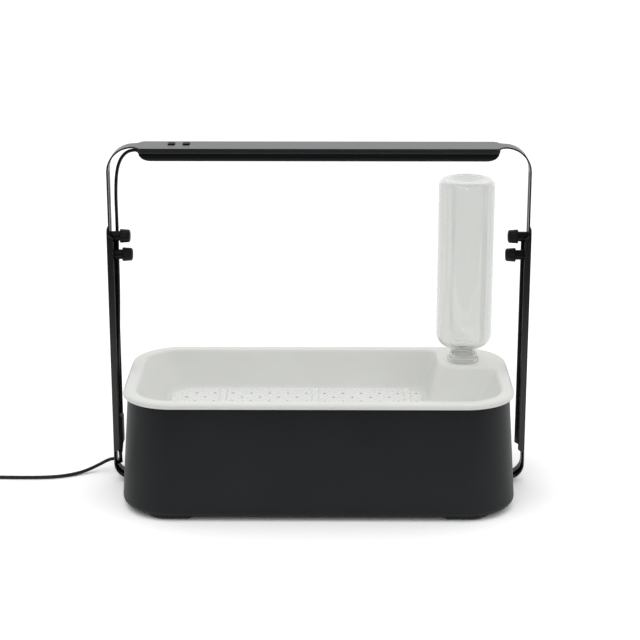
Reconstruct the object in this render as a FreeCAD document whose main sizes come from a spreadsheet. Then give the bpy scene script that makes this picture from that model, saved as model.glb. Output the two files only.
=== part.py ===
import FreeCAD, Part
import math
import os
import re
import Sketcher

os.makedirs("parts", exist_ok=True)
V = FreeCAD.Vector

# Countertop hydroponic garden, millimetres, +Z up, +Y to the back.
# The origin is on the worktop under the middle of the tub.

sizes = dict(
    # white liner: rolled rim, sloped basin, shelf, well
    rimWidth=490, rimDepth=240, rimCorner=64, rimTop=153, lipDrop=7, rimBand=16,
    linerWall=2.5, lipRoll=2.2, openCorner=48, shelfTop=102, shelfInsetLeft=32,
    shelfInsetRight=24, shelfInsetSide=14, shelfCorner=36, shelfWidth=9,
    wellFloor=50, wellCorner=20,
    # grow plate
    plateGap=3, plateThick=3, firstRib=68, lastRib=19, ribCount=3, ribWide=9, ribHigh=2.5,
    ribRound=1.5, ribShort=6, holePitch=24.2, holeRow=16, holeRowsOut=4, holesOut=7,
    holeRadius=2, holeMargin=4, holeRibGap=1,
    # bottle island at the right rear
    islandLeftIn=89, islandFrontIn=93, islandSlope=15, islandCove=34, islandRound=14,
    coveTaper=8, cupDepth=34, spoutBore=7, spoutWall=2.5, spoutLift=0.5,
    # black tub
    tubInset=5, tubFlare=9, tubWall=3, tubUnder=7, tubBottomRound=16, tubTopCorner=59,
    tubBaseCorner=68,
    # feet
    footInX=57.5, footInY=17, footTopLength=68, footTopDepth=32, footLength=58, footDepth=30,
    footRound=4, footCorner=27, footRise=5, padThick=2, padLength=36, padDepth=14, padIn=3,
    # lower frame: strip under the tub, channel posts
    frameY=24, postClear=23, sheet=2, postWidth=30, postTop=342, postTopRound=7,
    flangeReach=6.3, flangeBottom=42, flangeBevel=4, flangeTopDrop=9, lowerBend=21,
    innerScrewX=95, outerScrewIn=40, baseScrewBore=4.4, baseScrewBoss=12, bossHeight=10,
    baseScrewRadius=2, baseScrewGrip=9, baseScrewHead=3.8, baseScrewHeadHigh=2.2,
    # arch: lamp plate and slotted arms
    archTop=446, armWidth=25, armGap=0.1, archBend=33, armBottom=238, slotWidth=6.6,
    slotTop=413, slotBottom=249, lampInset=45, plateDepth=50, plateCove=9, plateRound=5,
    # clamp knobs
    upperKnob=329, lowerKnob=305, knobRadius=8.9, knobTaper=0.7, knobLength=12.6,
    knobBevel=1.6, upperKnobIn=28.5, lowerKnobIn=31, collarRadius=6.3,
    screwRadius=3, screwFit=0.05, collarFit=0.1, screwInKnob=6, fluteRadius=1.5,
    fluteOut=0.7, fluteStop=1.5, fluteCount=14,
    # lamp
    housingDepth=46, housingHeight=15.5, housingTuck=12, housingRound=3,
    housingEndRound=8.5, windowRound=3, windowMargin=14, windowWall=2.8,
    ceilingWall=2.5, boardThick=1.6, ledInsetLeft=75, ledInsetRight=29, ledBoardDepth=34,
    chipSize=3.5, chipThick=0.8, chipRowGap=17, chipCount=20, diffuserThick=2, diffuserRecess=1,
    diffuserFit=0.2,
    # buttons
    firstButtonIn=38, secondButtonIn=56.6, buttonY=31, buttonWide=8.6, buttonDeep=12,
    buttonRound=1.2, buttonEdge=0.5, buttonProud=1.4, buttonFit=0.3, buttonTravel=1, buttonLip=1,
    lipThick=0.8, lipFit=0.1, stemDepth=3.6, stemWide=4, switchThick=2.2, switchFit=0.2,
    switchEdge=3, standoffIn=4,
    # bottle
    bottleInX=56, bottleInY=60, bottleRadius=36, bottleHeight=244, bottleWall=2,
    throatRadius=16.5, neckRadius=16.8, neckBelow=20, ringRadius=21, ringHeight=12,
    throatTop=20, baseRound=9, puntDepth=9, puntRadius=24, mouthWall=2.3,
    capFit=0.15, capWall=1.6, capSkirt=14, capFloor=2, capPort=4, capEdge=1, cupFit=0.6,
    sealThick=1, ringRound=2.5, throatFillet=1.6, domeRound=17.5, puntRound=5,
    # in-line controller on the left post
    boxBottom=47, boxTop=91, boxWide=22, boxBaseDeep=5, boxCoverDeep=5, boxWall=1.2,
    boxBevel=4, boxCorner=1.5, boxFit=0.3, reliefLong=10, reliefWide=8, reliefTip=5.6,
    # cables
    lampCable=4.2, supplyCord=4.5, cableY=34.5, glandLong=7, glandWide=7.5, glandTip=5.4,
    glandDrop=6.5,
    # cord coil and adapter
    coilOut=206, coilRun=8, coilForward=4, coilTurns=4, coilPitch=5.1, coilInner=17.5,
    layerRise=5.1, adapterLong=52, adapterWide=34, adapterHigh=27, adapterRound=5,
    adapterEdge=2.5, adapterRelief=16, pinRadius=2.4, pinLong=18, pinSpread=19, tailRun=20,
)

# sizes that follow from others
derived = dict(
    postOuter="rimWidth / 2 + postClear", plateHalf="postOuter - lampInset",
    plateCorner="shelfCorner - plateGap",
    islandLeft="rimWidth / 2 - islandLeftIn", islandFront="rimDepth / 2 - islandFrontIn",
    bottleX="rimWidth / 2 - bottleInX", bottleY="rimDepth / 2 - bottleInY",
    footX="rimWidth / 2 - footInX", footY="rimDepth / 2 - footInY",
    outerScrewX="rimWidth / 2 - outerScrewIn",
    upperKnobFace="postOuter - upperKnobIn", lowerKnobFace="postOuter - lowerKnobIn",
    ledBoardLeft="0 - plateHalf + ledInsetLeft", ledBoardRight="plateHalf - ledInsetRight",
    firstButtonX="0 - plateHalf + firstButtonIn", secondButtonX="0 - plateHalf + secondButtonIn",
    coilX="0 - postOuter - coilOut", coilEndY="frameY - coilForward",
)

doc = FreeCAD.newDocument("hydroponicGarden")
sheet = doc.addObject("Spreadsheet::Sheet", "Sizes")
for row, (name, size) in enumerate({**sizes, **derived}.items(), 1):
    sheet.set(f"A{row}", name)
    sheet.set(f"B{row}", "=" + size if name in derived else str(size))
    sheet.setAlias(f"B{row}", name)
doc.recompute()

subParts = []


def linked(text):
    # a size expression such as "rimTop - lipDrop", with every word looked up in the sheet
    return re.sub(r"[A-Za-z]\w*", lambda word: "Sizes." + word.group(), str(text))


def number(text):
    return float(sheet.evalExpression(str(text)))


def bind(item, **expressions):
    for path, text in expressions.items():
        item.setExpression(path.replace("__", "."), linked(text))


def place(item, x="0", y="0", z="0"):
    bind(item, Placement__Base__x=x, Placement__Base__y=y, Placement__Base__z=z)


def keep(item, label):
    item.Label = label
    subParts.append(item)
    return item


def newBody(name):
    return doc.addObject("PartDesign::Body", name)


def originFeature(body, role):
    return next(f for f in body.Origin.OriginFeatures if f.Role == role)


def towards(here, there, reach):
    step = there.sub(here)
    return here.add(step.multiply(reach / step.Length))


def drawLoop(sketch, corners):
    # closed outline through named corners (x, y, rounding); every corner is a fixed
    # construction point, the straight edges run through two of them, arcs are tangent
    spots = [V(number(c[0]), number(c[1]), 0) for c in corners]
    rounds = [number(c[2]) if len(c) > 2 else 0 for c in corners]
    count = len(corners)
    starts, ends = [], []
    for i, spot in enumerate(spots):
        before, after = spots[i - 1], spots[(i + 1) % count]
        if not rounds[i]:
            starts.append(spot)
            ends.append(spot)
            continue
        turn = before.sub(spot).getAngle(after.sub(spot))
        cut = rounds[i] / math.tan(turn / 2)
        ends.append(towards(spot, before, cut))
        starts.append(towards(spot, after, cut))
    points, lines, arcs = [], [], {}
    for i, corner in enumerate(corners):
        point = sketch.addGeometry(Part.Point(spots[i]), True)
        points.append(point)
        for kind, text in (("DistanceX", corner[0]), ("DistanceY", corner[1])):
            spotValue = spots[i].x if kind == "DistanceX" else spots[i].y
            fixed = sketch.addConstraint(Sketcher.Constraint(kind, -1, 1, point, 1, spotValue))
            sketch.setExpression(f"Constraints[{fixed}]", linked(text))
    for i in range(count):
        segment = Part.LineSegment(starts[i], ends[(i + 1) % count])
        lines.append(sketch.addGeometry(segment, False))
    for i in range(count):
        if not rounds[i]:
            continue
        before = towards(spots[i], spots[i - 1], 1)
        after = towards(spots[i], spots[(i + 1) % count], 1)
        halfTurn = before.sub(spots[i]).getAngle(after.sub(spots[i])) / 2
        between = before.add(after).multiply(0.5)
        centre = towards(spots[i], between, rounds[i] / math.sin(halfTurn))
        angles = [math.atan2(end.y - centre.y, end.x - centre.x) for end in (ends[i], starts[i])]
        forward = (angles[1] - angles[0]) % (2 * math.pi) < math.pi
        if not forward:
            angles.reverse()
        circle = Part.Circle(centre, V(0, 0, 1), rounds[i])
        arc = sketch.addGeometry(Part.ArcOfCircle(circle, angles[0], angles[1]), False)
        arcs[i] = (arc, 1, 2) if forward else (arc, 2, 1)
    for i in range(count):
        into, away = lines[i - 1], lines[i]
        sketch.addConstraint(Sketcher.Constraint("PointOnObject", points[i], 1, into))
        sketch.addConstraint(Sketcher.Constraint("PointOnObject", points[i], 1, away))
        if i not in arcs:
            sketch.addConstraint(Sketcher.Constraint("Coincident", into, 2, away, 1))
            continue
        arc, first, second = arcs[i]
        sketch.addConstraint(Sketcher.Constraint("Tangent", into, 2, arc, first))
        sketch.addConstraint(Sketcher.Constraint("Tangent", arc, second, away, 1))
        size = sketch.addConstraint(Sketcher.Constraint("Radius", arc, rounds[i]))
        sketch.setExpression(f"Constraints[{size}]", linked(corners[i][2]))


def drawCircle(sketch, x, y, radius):
    centre = V(number(x), number(y), 0)
    ring = sketch.addGeometry(Part.Circle(centre, V(0, 0, 1), number(radius)), False)
    for kind, text in (("DistanceX", x), ("DistanceY", y)):
        fixed = sketch.addConstraint(Sketcher.Constraint(kind, -1, 1, ring, 3, number(text)))
        sketch.setExpression(f"Constraints[{fixed}]", linked(text))
    size = sketch.addConstraint(Sketcher.Constraint("Radius", ring, number(radius)))
    sketch.setExpression(f"Constraints[{size}]", linked(radius))


def sketchOn(body, role, name, loops=(), circles=(), away="0"):
    # away moves the sketch along its plane's normal; for XZ that normal is -Y
    sketch = body.newObject("Sketcher::SketchObject", name)
    sketch.AttachmentSupport = [(originFeature(body, role), "")]
    sketch.MapMode = "FlatFace"
    bind(sketch, AttachmentOffset__Base__z=away)
    for loop in loops:
        drawLoop(sketch, loop)
    for circle in circles:
        drawCircle(sketch, *circle)
    return sketch


def feature(body, kind, name, sketch, both=False, flip=False, **expressions):
    made = body.newObject("PartDesign::" + kind, name)
    made.Profile = (sketch, [""])
    if kind in ("Pad", "Pocket"):
        made.Reversed = flip
        made.SideType = "Symmetric" if both else "One side"
    bind(made, **expressions)
    return made


def loft(body, kind, name, lower, upper):
    made = body.newObject("PartDesign::" + kind, name)
    made.Profile = (lower, [""])
    made.Sections = [(upper, [""])]
    made.Ruled = True
    return made


def revolve(body, kind, name, sketch, axis="Z_Axis"):
    made = body.newObject("PartDesign::" + kind, name)
    made.Profile = (sketch, [""])
    made.ReferenceAxis = (originFeature(body, axis), [""])
    made.Angle = 360
    return made


def edgesWhere(shape, test):
    return [f"Edge{i}" for i, edge in enumerate(shape.Edges, 1) if test(edge)]


def round_(body, name, base, edges, radius):
    made = body.newObject("PartDesign::Fillet", name)
    made.Base = (base, edges)
    bind(made, Radius=radius)
    return made


def box(x1, x2, y1, y2, corner="0"):
    # four corners of an upright rectangle, front left first
    return [(x1, y1, corner), (x2, y1, corner), (x2, y2, corner), (x1, y2, corner)]


def centred(width, depth, corner="0", x="0", y="0"):
    return box(f"{x} - ({width}) / 2", f"{x} + ({width}) / 2",
               f"{y} - ({depth}) / 2", f"{y} + ({depth}) / 2", corner)


def group(label, pieces):
    made = doc.addObject("Part::Compound", label)
    made.Links = pieces
    return keep(made, label)


# names for places that several pieces share
openX = "(rimWidth / 2 - rimBand)"
openY = "(rimDepth / 2 - rimBand)"
shelfLeft = "(0 - rimWidth / 2 + rimBand + shelfInsetLeft)"
shelfRight = "(rimWidth / 2 - rimBand - shelfInsetRight)"
shelfY = f"({openY} - shelfInsetSide)"
islandLeftLow = "(islandLeft - islandSlope)"
islandFrontLow = "(islandFront - islandSlope)"
trayLeft = f"({shelfLeft} + plateGap)"
trayRight = f"({islandLeftLow} - 2 * plateGap)"
trayY = f"({shelfY} - plateGap)"
bore = "(neckRadius + capFit + capWall + cupFit)"
rimSeat = "(rimTop - linerWall)"
tubTopWidth, tubTopDepth = "(rimWidth - 2 * tubInset)", "(rimDepth - 2 * tubInset)"
spoutHeight = "(rimTop - cupDepth + spoutBore / 2 + spoutLift)"
armOuter = "(postOuter - sheet - armGap)"
armInner = "(postOuter - 2 * sheet - armGap)"
housingTop = "(archTop - sheet)"
stripLow = "(tubUnder - sheet)"
screwPlaces = ["0 - outerScrewX", "0 - innerScrewX", "innerScrewX", "outerScrewX"]

# white liner
liner = newBody("liner_basin")
rimPlate = sketchOn(liner, "XY_Plane", "rimOutline", [centred("rimWidth", "rimDepth", "rimCorner")],
                    away="rimTop - lipDrop")
rimPad = feature(liner, "Pad", "rimPad", rimPlate, Length="lipDrop")
doc.recompute()
topEdges = edgesWhere(rimPad.Shape, lambda e: e.BoundBox.ZMin > number("rimTop") - 0.01)
round_(liner, "lipRollTop", rimPad, topEdges, "lipRoll")
outerTop = sketchOn(liner, "XY_Plane", "basinOuterTop", [box(
    f"0 - {openX} - linerWall", f"{openX} + linerWall", f"0 - {openY} - linerWall",
    f"{openY} + linerWall", "openCorner + linerWall")], away=rimSeat)
outerLow = sketchOn(liner, "XY_Plane", "basinOuterLow", [box(
    f"{shelfLeft} - linerWall", f"{shelfRight} + linerWall", f"0 - {shelfY} - linerWall",
    f"{shelfY} + linerWall", "shelfCorner + linerWall")], away="shelfTop - linerWall")
loft(liner, "AdditiveLoft", "basinOuter", outerLow, outerTop)
wellLeft, wellRight = f"({trayLeft} + shelfWidth)", f"({trayRight} - shelfWidth)"
wellY = f"({trayY} - shelfWidth)"
wellOuter = sketchOn(liner, "XY_Plane", "wellOuterOutline", [box(
    f"{wellLeft} - linerWall", f"{wellRight} + linerWall", f"0 - {wellY} - linerWall",
    f"{wellY} + linerWall", "wellCorner + linerWall")], away="wellFloor - linerWall")
feature(liner, "Pad", "wellOuterPad", wellOuter, Length="shelfTop - wellFloor + linerWall / 2")
cavityTop = sketchOn(liner, "XY_Plane", "cavityTop", [[
    (f"0 - {openX}", f"0 - {openY}", "openCorner"), (openX, f"0 - {openY}", "openCorner"),
    (openX, "islandFront", "islandRound"), ("islandLeft", "islandFront", "islandCove"),
    ("islandLeft", openY, "islandRound"), (f"0 - {openX}", openY, "openCorner")]],
    away="rimTop")
cavityLow = sketchOn(liner, "XY_Plane", "cavityLow", [[
    (shelfLeft, f"0 - {shelfY}", "shelfCorner"), (shelfRight, f"0 - {shelfY}", "shelfCorner"),
    (shelfRight, islandFrontLow, "islandRound"),
    (islandLeftLow, islandFrontLow, "islandCove - coveTaper"),
    (islandLeftLow, shelfY, "islandRound"), (shelfLeft, shelfY, "shelfCorner")]],
    away="shelfTop")
cavity = loft(liner, "SubtractiveLoft", "cavity", cavityLow, cavityTop)
wellOutline = sketchOn(liner, "XY_Plane", "wellOutline", [box(
    wellLeft, wellRight, f"0 - {wellY}", wellY, "wellCorner")], away="shelfTop")
well = feature(liner, "Pocket", "well", wellOutline, Length="shelfTop - wellFloor")
groove = sketchOn(liner, "XY_Plane", "tubGroove", [
    centred("rimWidth - 2 * linerWall", "rimDepth - 2 * linerWall", "rimCorner - linerWall"),
    box(f"0 - {openX} - linerWall", f"{openX} + linerWall", f"0 - {openY} - linerWall",
        f"{openY} + linerWall", "openCorner + linerWall")], away="rimTop - lipDrop")
feature(liner, "Pocket", "grooveCut", groove, flip=True, Length="lipDrop - linerWall")
hollowLow = sketchOn(liner, "XY_Plane", "islandHollowLow", [box(
    f"{islandLeftLow} + linerWall", shelfRight, f"{islandFrontLow} + linerWall", shelfY,
    "islandRound - linerWall")], away="shelfTop - linerWall")
hollowTop = sketchOn(liner, "XY_Plane", "islandHollowTop", [[
    ("islandLeft + linerWall", "islandFront + linerWall", "islandCove - linerWall"),
    (openX, "islandFront + linerWall", "islandRound - linerWall"),
    (openX, openY, "islandCove"),
    ("islandLeft + linerWall", openY, "islandRound - linerWall")]],
    away=rimSeat)
loft(liner, "SubtractiveLoft", "islandHollow", hollowLow, hollowTop)
cup = sketchOn(liner, "XY_Plane", "cupOutline",
               circles=[("bottleX", "bottleY", f"{bore} + linerWall")], away=rimSeat)
feature(liner, "Pad", "cup", cup, flip=True, Length="cupDepth")
cupBore = sketchOn(liner, "XY_Plane", "cupBore", circles=[("bottleX", "bottleY", bore)],
                   away="rimTop")
feature(liner, "Pocket", "cupBoreCut", cupBore, Length="cupDepth")
spout = sketchOn(liner, "YZ_Plane", "spoutOutline",
                 circles=[("bottleY", spoutHeight, "spoutBore / 2 + spoutWall")],
                 away=f"{islandLeftLow} + islandSlope / 2")
feature(liner, "Pad", "spout", spout,
        Length=f"bottleX - {bore} - {islandLeftLow} - islandSlope / 2")
spoutBore = sketchOn(liner, "YZ_Plane", "spoutBoreOutline",
                     circles=[("bottleY", spoutHeight, "spoutBore / 2")], away="bottleX")
feature(liner, "Pocket", "spoutBoreCut", spoutBore, Length=f"bottleX - {islandLeftLow}")
keep(liner, "liner_basin")


# perforated grow plate, its ribs run front to back
plate = newBody("grow_plate")
plateOutline = sketchOn(plate, "XY_Plane", "plateOutline", [
    box(trayLeft, trayRight, f"0 - {trayY}", trayY, "plateCorner")], away="shelfTop")
feature(plate, "Pad", "platePad", plateOutline, Length="plateThick")
ribPitch = f"(({trayRight} - {trayLeft} - firstRib - lastRib) / (ribCount - 1))"
ribMiddles = [f"({trayLeft} + firstRib + {i} * {ribPitch})" for i in range(int(number("ribCount")))]
for i, middle in enumerate(ribMiddles):
    rib = sketchOn(plate, "XZ_Plane", f"rib{i}", [[
        (f"{middle} - ribWide / 2", "shelfTop + plateThick - 1"),
        (f"{middle} + ribWide / 2", "shelfTop + plateThick - 1"),
        (f"{middle} + ribWide / 2", "shelfTop + plateThick + ribHigh", "ribRound"),
        (f"{middle} - ribWide / 2", "shelfTop + plateThick + ribHigh", "ribRound")]])
    feature(plate, "Pad", f"ribPad{i}", rib, both=True, Length=f"2 * {trayY} - 2 * ribShort")
holes = []
rowsOut, columnsOut = int(number("holeRowsOut")), int(number("holesOut"))
for rowIndex in range(-rowsOut, rowsOut + 1):
    offset = "0" if rowIndex % 2 else "holePitch / 2"
    for column in range(-columnsOut, columnsOut + 1):
        x = f"({ribMiddles[1]} + {offset} + {column} * holePitch)"
        nearRib = any(abs(number(x) - number(m)) < number("ribWide / 2 + holeRadius + holeRibGap")
                      for m in ribMiddles)
        edge = number("holeRadius + holeMargin")
        inside = number(trayLeft) + edge < number(x) < number(trayRight) - edge
        if inside and not nearRib:
            holes.append((x, f"({rowIndex}) * holeRow", "holeRadius"))
holeSketch = sketchOn(plate, "XY_Plane", "holes", circles=holes, away="shelfTop + plateThick")
feature(plate, "Pocket", "holeCut", holeSketch, Length="plateThick")
keep(plate, "grow_plate")

# black tub: flared shell with a rounded bottom edge
tub = newBody("tub_shell")
tubTopOutline = sketchOn(tub, "XY_Plane", "tubTopOutline", [centred(
    tubTopWidth, tubTopDepth, "tubTopCorner")], away=rimSeat)
tubLowOutline = sketchOn(tub, "XY_Plane", "tubLowOutline", [centred(
    f"{tubTopWidth} + 2 * tubFlare", f"{tubTopDepth} + 2 * tubFlare",
    "tubBaseCorner")], away="tubUnder")
loft(tub, "AdditiveLoft", "tubSolid", tubLowOutline, tubTopOutline)
tubInnerTop = sketchOn(tub, "XY_Plane", "tubInnerTop", [centred(
    f"{tubTopWidth} - 2 * tubWall", f"{tubTopDepth} - 2 * tubWall", "tubTopCorner - tubWall")],
    away=rimSeat)
tubInnerLow = sketchOn(tub, "XY_Plane", "tubInnerLow", [centred(
    f"{tubTopWidth} + 2 * tubFlare - 2 * tubWall", f"{tubTopDepth} + 2 * tubFlare - 2 * tubWall",
    "tubBaseCorner - tubWall")], away="tubUnder + tubWall")
tubStage = loft(tub, "SubtractiveLoft", "tubHollow", tubInnerLow, tubInnerTop)
for name, level, radius in (("tubInnerEdge", "tubUnder + tubWall", "tubBottomRound - tubWall"),
                            ("tubBottomEdge", "tubUnder", "tubBottomRound")):
    doc.recompute()
    height = number(level)
    around = edgesWhere(tubStage.Shape, lambda e: abs(e.BoundBox.ZMax - height) < 0.01
                        and abs(e.BoundBox.ZMin - height) < 0.01)
    tubStage = round_(tub, name, tubStage, around, radius)
bosses = [(f"({x})", "frameY", "baseScrewBoss / 2") for x in screwPlaces]
bossOutline = sketchOn(tub, "XY_Plane", "screwBossOutline", circles=bosses,
                       away="tubUnder + tubWall / 2")
feature(tub, "Pad", "screwBosses", bossOutline, Length="tubWall / 2 + bossHeight")
pilots = [(f"({x})", "frameY", "baseScrewRadius") for x in screwPlaces]
pilotOutline = sketchOn(tub, "XY_Plane", "screwPilotOutline", circles=pilots, away="tubUnder")
feature(tub, "Pocket", "screwPilots", pilotOutline, flip=True, Length="baseScrewGrip")


def footLine(sideX, sideY, length, depth):
    # the corner that faces out is round, like the tub's own corner above it
    near, far = (f"{sideX} * (footX {sign} {length} / 2)" for sign in "-+")
    back, front = (f"{sideY} * (footY {sign} {depth} / 2)" for sign in "-+")
    return [(near, back, "footRound"), (far, back, "footRound"), (far, front, "footCorner"),
            (near, front, "footRound")]


for i, (sideX, sideY) in enumerate(((-1, -1), (1, -1), (1, 1), (-1, 1))):
    footSole = sketchOn(tub, "XY_Plane", f"footSole{i}", [
        footLine(sideX, sideY, "footLength", "footDepth")], away="padThick")
    footRoot = sketchOn(tub, "XY_Plane", f"footRoot{i}", [
        footLine(sideX, sideY, "footTopLength", "footTopDepth")], away="tubUnder + footRise")
    loft(tub, "AdditiveLoft", f"foot{i}", footSole, footRoot)
keep(tub, "tub_shell")

pads = []
for i, (sideX, sideY) in enumerate(((-1, -1), (1, -1), (1, 1), (-1, 1))):
    pad = newBody(f"footPad{i}")
    padOutline = sketchOn(pad, "XY_Plane", f"padOutline{i}", [centred(
        "padLength", "padDepth", "footRound")])
    feature(pad, "Pad", f"padSolid{i}", padOutline, Length="padThick")
    place(pad, f"{sideX} * footX", f"{sideY} * (footY - padIn)")
    pads.append(pad)
group("foot_pads", pads)

# lower frame: strip under the tub, turned up into a channel post at each side
frame = newBody("lower_frame")
insideX = "(postOuter - sheet)"
outerRise = [("0 - postOuter", "postTop"), ("0 - postOuter", stripLow, "lowerBend"),
             ("postOuter", stripLow, "lowerBend"), ("postOuter", "postTop")]
innerRise = [(insideX, "postTop"), (insideX, "tubUnder", "lowerBend - sheet"),
             (f"0 - {insideX}", "tubUnder", "lowerBend - sheet"), (f"0 - {insideX}", "postTop")]
band = sketchOn(frame, "XZ_Plane", "bandOutline", [outerRise + innerRise], away="0 - frameY")
bandPad = feature(frame, "Pad", "band", band, both=True, Length="postWidth")
doc.recompute()
topCorners = edgesWhere(bandPad.Shape, lambda e: e.BoundBox.ZMin > number("postTop") - 0.01
                        and e.BoundBox.YLength < 0.01)
round_(frame, "postTopRounds", bandPad, topCorners, "postTopRound")
flanges = []
for side in (-1, 1):
    web, lip = f"{side} * {insideX}", f"{side} * (postOuter - flangeReach)"
    flange = [(web, "flangeBottom"), (lip, "flangeBottom + flangeBevel"),
              (lip, "postTop - flangeTopDrop - flangeBevel"), (web, "postTop - flangeTopDrop")]
    for face in (-1, 1):
        tag = f"{'L' if side < 0 else 'R'}{'front' if face < 0 else 'rear'}"
        away = f"0 - frameY - ({face}) * (postWidth - sheet) / 2"
        strip = newBody("flange" + tag)
        outline = sketchOn(strip, "XZ_Plane", "flangeOutline" + tag, [flange], away=away)
        feature(strip, "Pad", "flangePad" + tag, outline, both=True, Length="sheet")
        flanges.append(strip)
webHoles = sketchOn(frame, "YZ_Plane", "knobHoles", circles=[
    ("frameY", level, "screwRadius + screwFit") for level in ("lowerKnob", "upperKnob")],
    away="0 - postOuter - 1")
feature(frame, "Pocket", "knobHoleCut", webHoles, flip=True, Length="2 * postOuter + 2")
stripHoles = sketchOn(frame, "XY_Plane", "stripHoles", circles=[
    (f"({x})", "frameY", "baseScrewBore / 2") for x in screwPlaces], away=f"{stripLow} - 1")
feature(frame, "Pocket", "stripHoleCut", stripHoles, flip=True, Length="sheet + 2")
keep(frame, "lower_frame")
group("post_flanges", flanges)

baseScrews = []
for i, x in enumerate(screwPlaces):
    head = doc.addObject("Part::Cylinder", f"baseScrewHead{i}")
    bind(head, Radius="baseScrewHead", Height="baseScrewHeadHigh")
    place(head, f"({x})", "frameY", f"{stripLow} - baseScrewHeadHigh")
    shank = doc.addObject("Part::Cylinder", f"baseScrewShank{i}")
    bind(shank, Radius="baseScrewRadius", Height="sheet + baseScrewGrip + baseScrewHeadHigh")
    place(shank, f"({x})", "frameY", f"{stripLow} - baseScrewHeadHigh")
    screw = doc.addObject("Part::Fuse", f"baseScrew{i}")
    screw.Base, screw.Tool = head, shank
    baseScrews.append(screw)
group("frame_screws", baseScrews)

# arch: slotted arms and the wide lamp plate, one bent sheet
arch = newBody("arch_frame")
armOutside = [(f"0 - {armOuter}", "armBottom"), (f"0 - {armInner}", "armBottom"),
              (f"0 - {armInner}", housingTop, "archBend - sheet"),
              (armInner, housingTop, "archBend - sheet"), (armInner, "armBottom"),
              (armOuter, "armBottom"), (armOuter, "archTop", "archBend"),
              (f"0 - {armOuter}", "archTop", "archBend")]
archBand = sketchOn(arch, "XZ_Plane", "archBand", [armOutside], away="0 - frameY")
feature(arch, "Pad", "archStrip", archBand, both=True, Length="armWidth")
near, far = "(frameY - plateDepth / 2)", "(frameY + plateDepth / 2)"
nearArm, farArm = "(frameY - armWidth / 2)", "(frameY + armWidth / 2)"
wingEnd = "(plateHalf + plateCove + 1)"
lampPlate = sketchOn(arch, "XY_Plane", "lampPlate", [[
    (f"0 - {wingEnd}", nearArm), ("0 - plateHalf", nearArm, "plateCove"),
    ("0 - plateHalf", near, "plateRound"), ("plateHalf", near, "plateRound"),
    ("plateHalf", nearArm, "plateCove"), (wingEnd, nearArm), (wingEnd, farArm),
    ("plateHalf", farArm, "plateCove"), ("plateHalf", far, "plateRound"),
    ("0 - plateHalf", far, "plateRound"), ("0 - plateHalf", farArm, "plateCove"),
    (f"0 - {wingEnd}", farArm)]], away=housingTop)
feature(arch, "Pad", "lampPlatePad", lampPlate, Length="sheet")
slotY = "slotWidth / 2"
slots = sketchOn(arch, "YZ_Plane", "armSlots", [box(
    f"frameY - {slotY}", f"frameY + {slotY}", "slotBottom", "slotTop", f"{slotY} - 0.01")],
    away=f"0 - {armOuter} - 1")
feature(arch, "Pocket", "armSlotCut", slots, flip=True, Length=f"2 * {armOuter} + 2")
buttonHoles = sketchOn(arch, "XY_Plane", "buttonHoles", [centred(
    "buttonWide + 2 * buttonFit", "buttonDeep + 2 * buttonFit", "buttonRound + buttonFit",
    x, "buttonY") for x in ("firstButtonX", "secondButtonX")], away="archTop")
feature(arch, "Pocket", "buttonHoleCut", buttonHoles, Length="sheet")
keep(arch, "arch_frame")

# clamp knobs: plastic head, spacer collar and steel screw, on the inner side of each post
for side, sideName in ((-1, "left"), (1, "right")):
    for level, levelName in (("upperKnob", "upper"), ("lowerKnob", "lower")):
        tag = f"{levelName}_{sideName}"
        faceX = f"{levelName}KnobFace"
        head = newBody("knob_" + tag)
        # the profile turns about the X axis, from the end face at x = 0 outwards
        profile = sketchOn(head, "XZ_Plane", "knobProfile_" + tag, [[
            ("0", "0"), ("0", "knobRadius - knobTaper - knobBevel"),
            ("knobBevel", "knobRadius - knobTaper"), ("knobLength", "knobRadius"),
            ("knobLength", "screwRadius"), ("knobLength - screwInKnob", "screwRadius"),
            ("knobLength - screwInKnob", "0")]])
        revolve(head, "Revolution", "knobTurn_" + tag, profile, "X_Axis")
        flute = sketchOn(head, "YZ_Plane", "flute_" + tag, circles=[
            ("0", "knobRadius + fluteOut", "fluteRadius")], away="0 - 1")
        fluteCut = feature(head, "Pocket", "fluteCut_" + tag, flute, flip=True,
                           Length="knobLength - fluteStop")
        ring = head.newObject("PartDesign::PolarPattern", "flutes_" + tag)
        ring.Originals = [fluteCut]
        ring.Axis = (originFeature(head, "X_Axis"), [""])
        ring.Angle = 360
        bind(ring, Occurrences="fluteCount")
        head.Tip = ring
        place(head, f"({side}) * {faceX}", "frameY", level)
        if side < 0:
            head.Placement.Rotation = FreeCAD.Rotation(V(0, 0, 1), 180)
        keep(head, "knob_" + tag)

        inner = f"({faceX} + knobLength)"
        collarLong = f"({armInner} - armGap - {inner})"
        collar = doc.addObject("Part::Cylinder", "collarOuter_" + tag)
        bind(collar, Radius="collarRadius", Height=collarLong)
        collarBore = doc.addObject("Part::Cylinder", "collarBore_" + tag)
        bind(collarBore, Radius="screwRadius + collarFit", Height=collarLong)
        screw = doc.addObject("Part::Cylinder", "knob_screw_" + tag)
        bind(screw, Radius="screwRadius", Height=f"postOuter - {inner} + screwInKnob")
        starts = ((collar, inner), (collarBore, inner), (screw, f"({inner} - screwInKnob)"))
        for piece, startX in starts:
            place(piece, f"({side}) * {startX}", "frameY", level)
            piece.Placement.Rotation = FreeCAD.Rotation(V(0, 1, 0), 90 * side)
        collarRing = doc.addObject("Part::Cut", "knob_collar_" + tag)
        collarRing.Base, collarRing.Tool = collar, collarBore
        keep(collarRing, "knob_collar_" + tag)
        keep(screw, "knob_screw_" + tag)

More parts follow.
